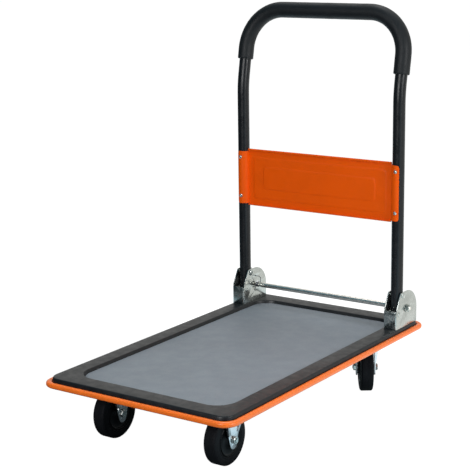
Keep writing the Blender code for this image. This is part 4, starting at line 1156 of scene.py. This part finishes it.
def build_wheel(label, axle, body):
    """Moulded hub with raised rings and a solid rubber tyre."""
    hub = [(0.0063, 0.0152), (0.0084, 0.0152), (0.0092, 0.0160), (0.0100, 0.0165)]
    hub += [(0.0132, 0.0165), (0.0142, 0.0160), (0.0152, 0.0150), (0.0172, 0.0134)]
    hub += [(0.0200, 0.0126), (0.0284, 0.0122), (0.0296, 0.0128), (0.0304, 0.0140)]
    hub += [(0.0316, 0.0143), (0.0326, 0.0136), (0.0333, 0.0126)]
    tyre = [(0.0335, 0.0126), (0.0340, 0.0136), (0.0350, 0.0141), (0.0364, 0.0141)]
    tyre += [(0.0371, 0.0136), (0.0378, 0.0135), (0.0388, 0.0138), (0.0440, 0.0135)]
    tyre += [(0.0466, 0.0131)] + arc((0.0466, 0.0092), 0.0039, 84, 0, 8)
    tyre += [(WHEEL_RADIUS, 0.0060), (WHEEL_RADIUS, 0.0012), (WHEEL_RADIUS - 0.00012, 0.0004)]
    pieces = (
        (f"moulded_hub_{label}", hub, "black_plastic", f"wheel_hub_{label}", 72),
        (f"solid_tyre_{label}", tyre, "black_rubber", f"wheel_tyre_{label}", 120),
    )
    for name, half, finish, node, steps in pieces:
        profile, place = mirrored(half), axle @ ALONG_X
        show_turned(name, profile, finish, body, node, place, steps, closed=True, smooth=40)


# ---------------- stage


def build_camera():
    """Camera that looks level along +Y, turned by its azimuth, elevation and roll."""
    data = bpy.data.cameras.new("camera")
    data.lens = CAMERA_LENS
    data.sensor_width = 36.0
    tilt = turn_about("X", math.pi / 2 - CAMERA_ELEVATION)
    turn = turn_about("Z", CAMERA_AZIMUTH) @ tilt @ turn_about("Z", CAMERA_ROLL)
    bpy.context.scene.camera = placed("camera", data, at(*CAMERA_PLACE) @ turn)


def build_studio():
    """White backdrop to the camera. As light it is bright behind the cart, dim and cool in front."""
    nodes = NodeTree(bpy.data.worlds.new("studio"), "Generated")
    seen = nodes.seen()
    _, to_the_back, up = nodes.split(nodes.place)
    behind = nodes.ramp(to_the_back, -0.3, 0.9, 0.06, 0.74)
    overhead = nodes.ramp(up, 0.2, 1.0, 0.0, 0.26)
    strength = nodes.maths("MAXIMUM", nodes.maths("ADD", behind, overhead), seen)
    lit = nodes.mix(nodes.ramp(to_the_back, -0.3, 0.5), COOL_FRONT, WARM_BACK)
    background = nodes.tree.nodes["Background"].inputs
    nodes.link(nodes.mix(seen, lit, WHITE), background["Color"])
    nodes.link(strength, background["Strength"])
    bpy.context.scene.world = nodes.owner

    for name, (place, diameter, power) in LAMPS.items():
        data = bpy.data.lights.new(name, "AREA")
        data.shape = "DISK"
        data.size = diameter
        data.energy = power
        aim = LAMPS_AIM - Vector(place)
        placed(name, data, at(*place) @ aim.to_track_quat("-Z", "Y").to_matrix().to_4x4())


def build_floor():
    """Pale floor, white paper to the camera. As light it glows behind the cart, with a painted
    shadow under it.
    """
    nodes = new_material("pale_floor")
    shader = nodes.tree.nodes["Principled BSDF"].inputs
    shader["Base Color"].default_value = FLOOR_COLOUR
    shader["Roughness"].default_value = 0.9
    shader["Specular IOR Level"].default_value = 0.0
    seen = nodes.seen()
    along = nodes.vector_maths("DOT_PRODUCT", nodes.place, GLOW_DIRECTION)["Value"]
    rise = nodes.ramp(along, -0.40, 0.10, 0.03, 1.15)
    fall = nodes.ramp(along, 0.35, 1.2, 1.0, 0.72)
    from_middle = nodes.vector_maths("ABSOLUTE", nodes.place)["Vector"]
    across_deck, along_deck, _ = nodes.split(from_middle)
    # Painted shadow of the cart: the floor's glow is dimmed inside the deck's footprint.
    past_side = nodes.ramp(across_deck, 0.16, 0.25, GLOW_IN_PAINTED_SHADOW)
    past_end = nodes.ramp(along_deck, 0.30, 0.42, GLOW_IN_PAINTED_SHADOW)
    clear = nodes.maths("MAXIMUM", past_side, past_end)
    glow = nodes.maths("MULTIPLY", nodes.maths("MULTIPLY", rise, fall), clear)
    nodes.link(nodes.maths("MAXIMUM", glow, seen), shader["Emission Strength"])
    lit = nodes.mix(nodes.ramp(along, -0.2, 0.9), COOL_FLOOR, WARM_BACK)
    nodes.link(nodes.mix(seen, lit, WHITE), shader["Emission Color"])

    shape = bmesh.new()
    bmesh.ops.create_grid(shape, x_segments=1, y_segments=1, size=FLOOR_HALF_SIZE)
    floor = placed("floor", mesh_of("floor", shape))
    floor.data.materials.append(nodes.owner)


def build_cart():
    build_deck_skin()
    build_mat()
    build_bumper()
    build_ribs()
    build_tube()
    build_grip()
    build_panel()
    build_panel_screws()
    build_rod()
    for side, sign in SIDES.items():
        build_bracket(side, sign)
        build_pins(side, sign)
        build_rod_ends(side, sign)
        build_rod_spring(side, sign)

        place = at(sign * CASTER_X, FRONT_CASTER_Y, 0)
        axle = place @ at(0, 0, WHEEL_RADIUS)
        build_rigid_fork(side, place)
        build_plate_bolts(f"front_{side}", place)
        build_axle(f"front_{side}", axle, -sign, "base")
        build_wheel(f"front_{side}", axle, f"wheel_front_{side}")

        place = at(sign * CASTER_X, REAR_CASTER_Y, 0)
        swivelled = place @ turn_about("Z", REST_SWIVEL)
        axle = swivelled @ at(0, -CASTER_TRAIL, WHEEL_RADIUS)
        build_swivel_head(side, place)
        build_plate_bolts(f"rear_{side}", place)
        build_swivel_fork(side, swivelled)
        build_axle(f"rear_{side}", axle, 1, f"swivel_{side}")
        build_wheel(f"rear_{side}", axle, f"wheel_rear_{side}")


bpy.context.scene.view_settings.view_transform = "Standard"
build_camera()
build_studio()
build_floor()
build_cart()
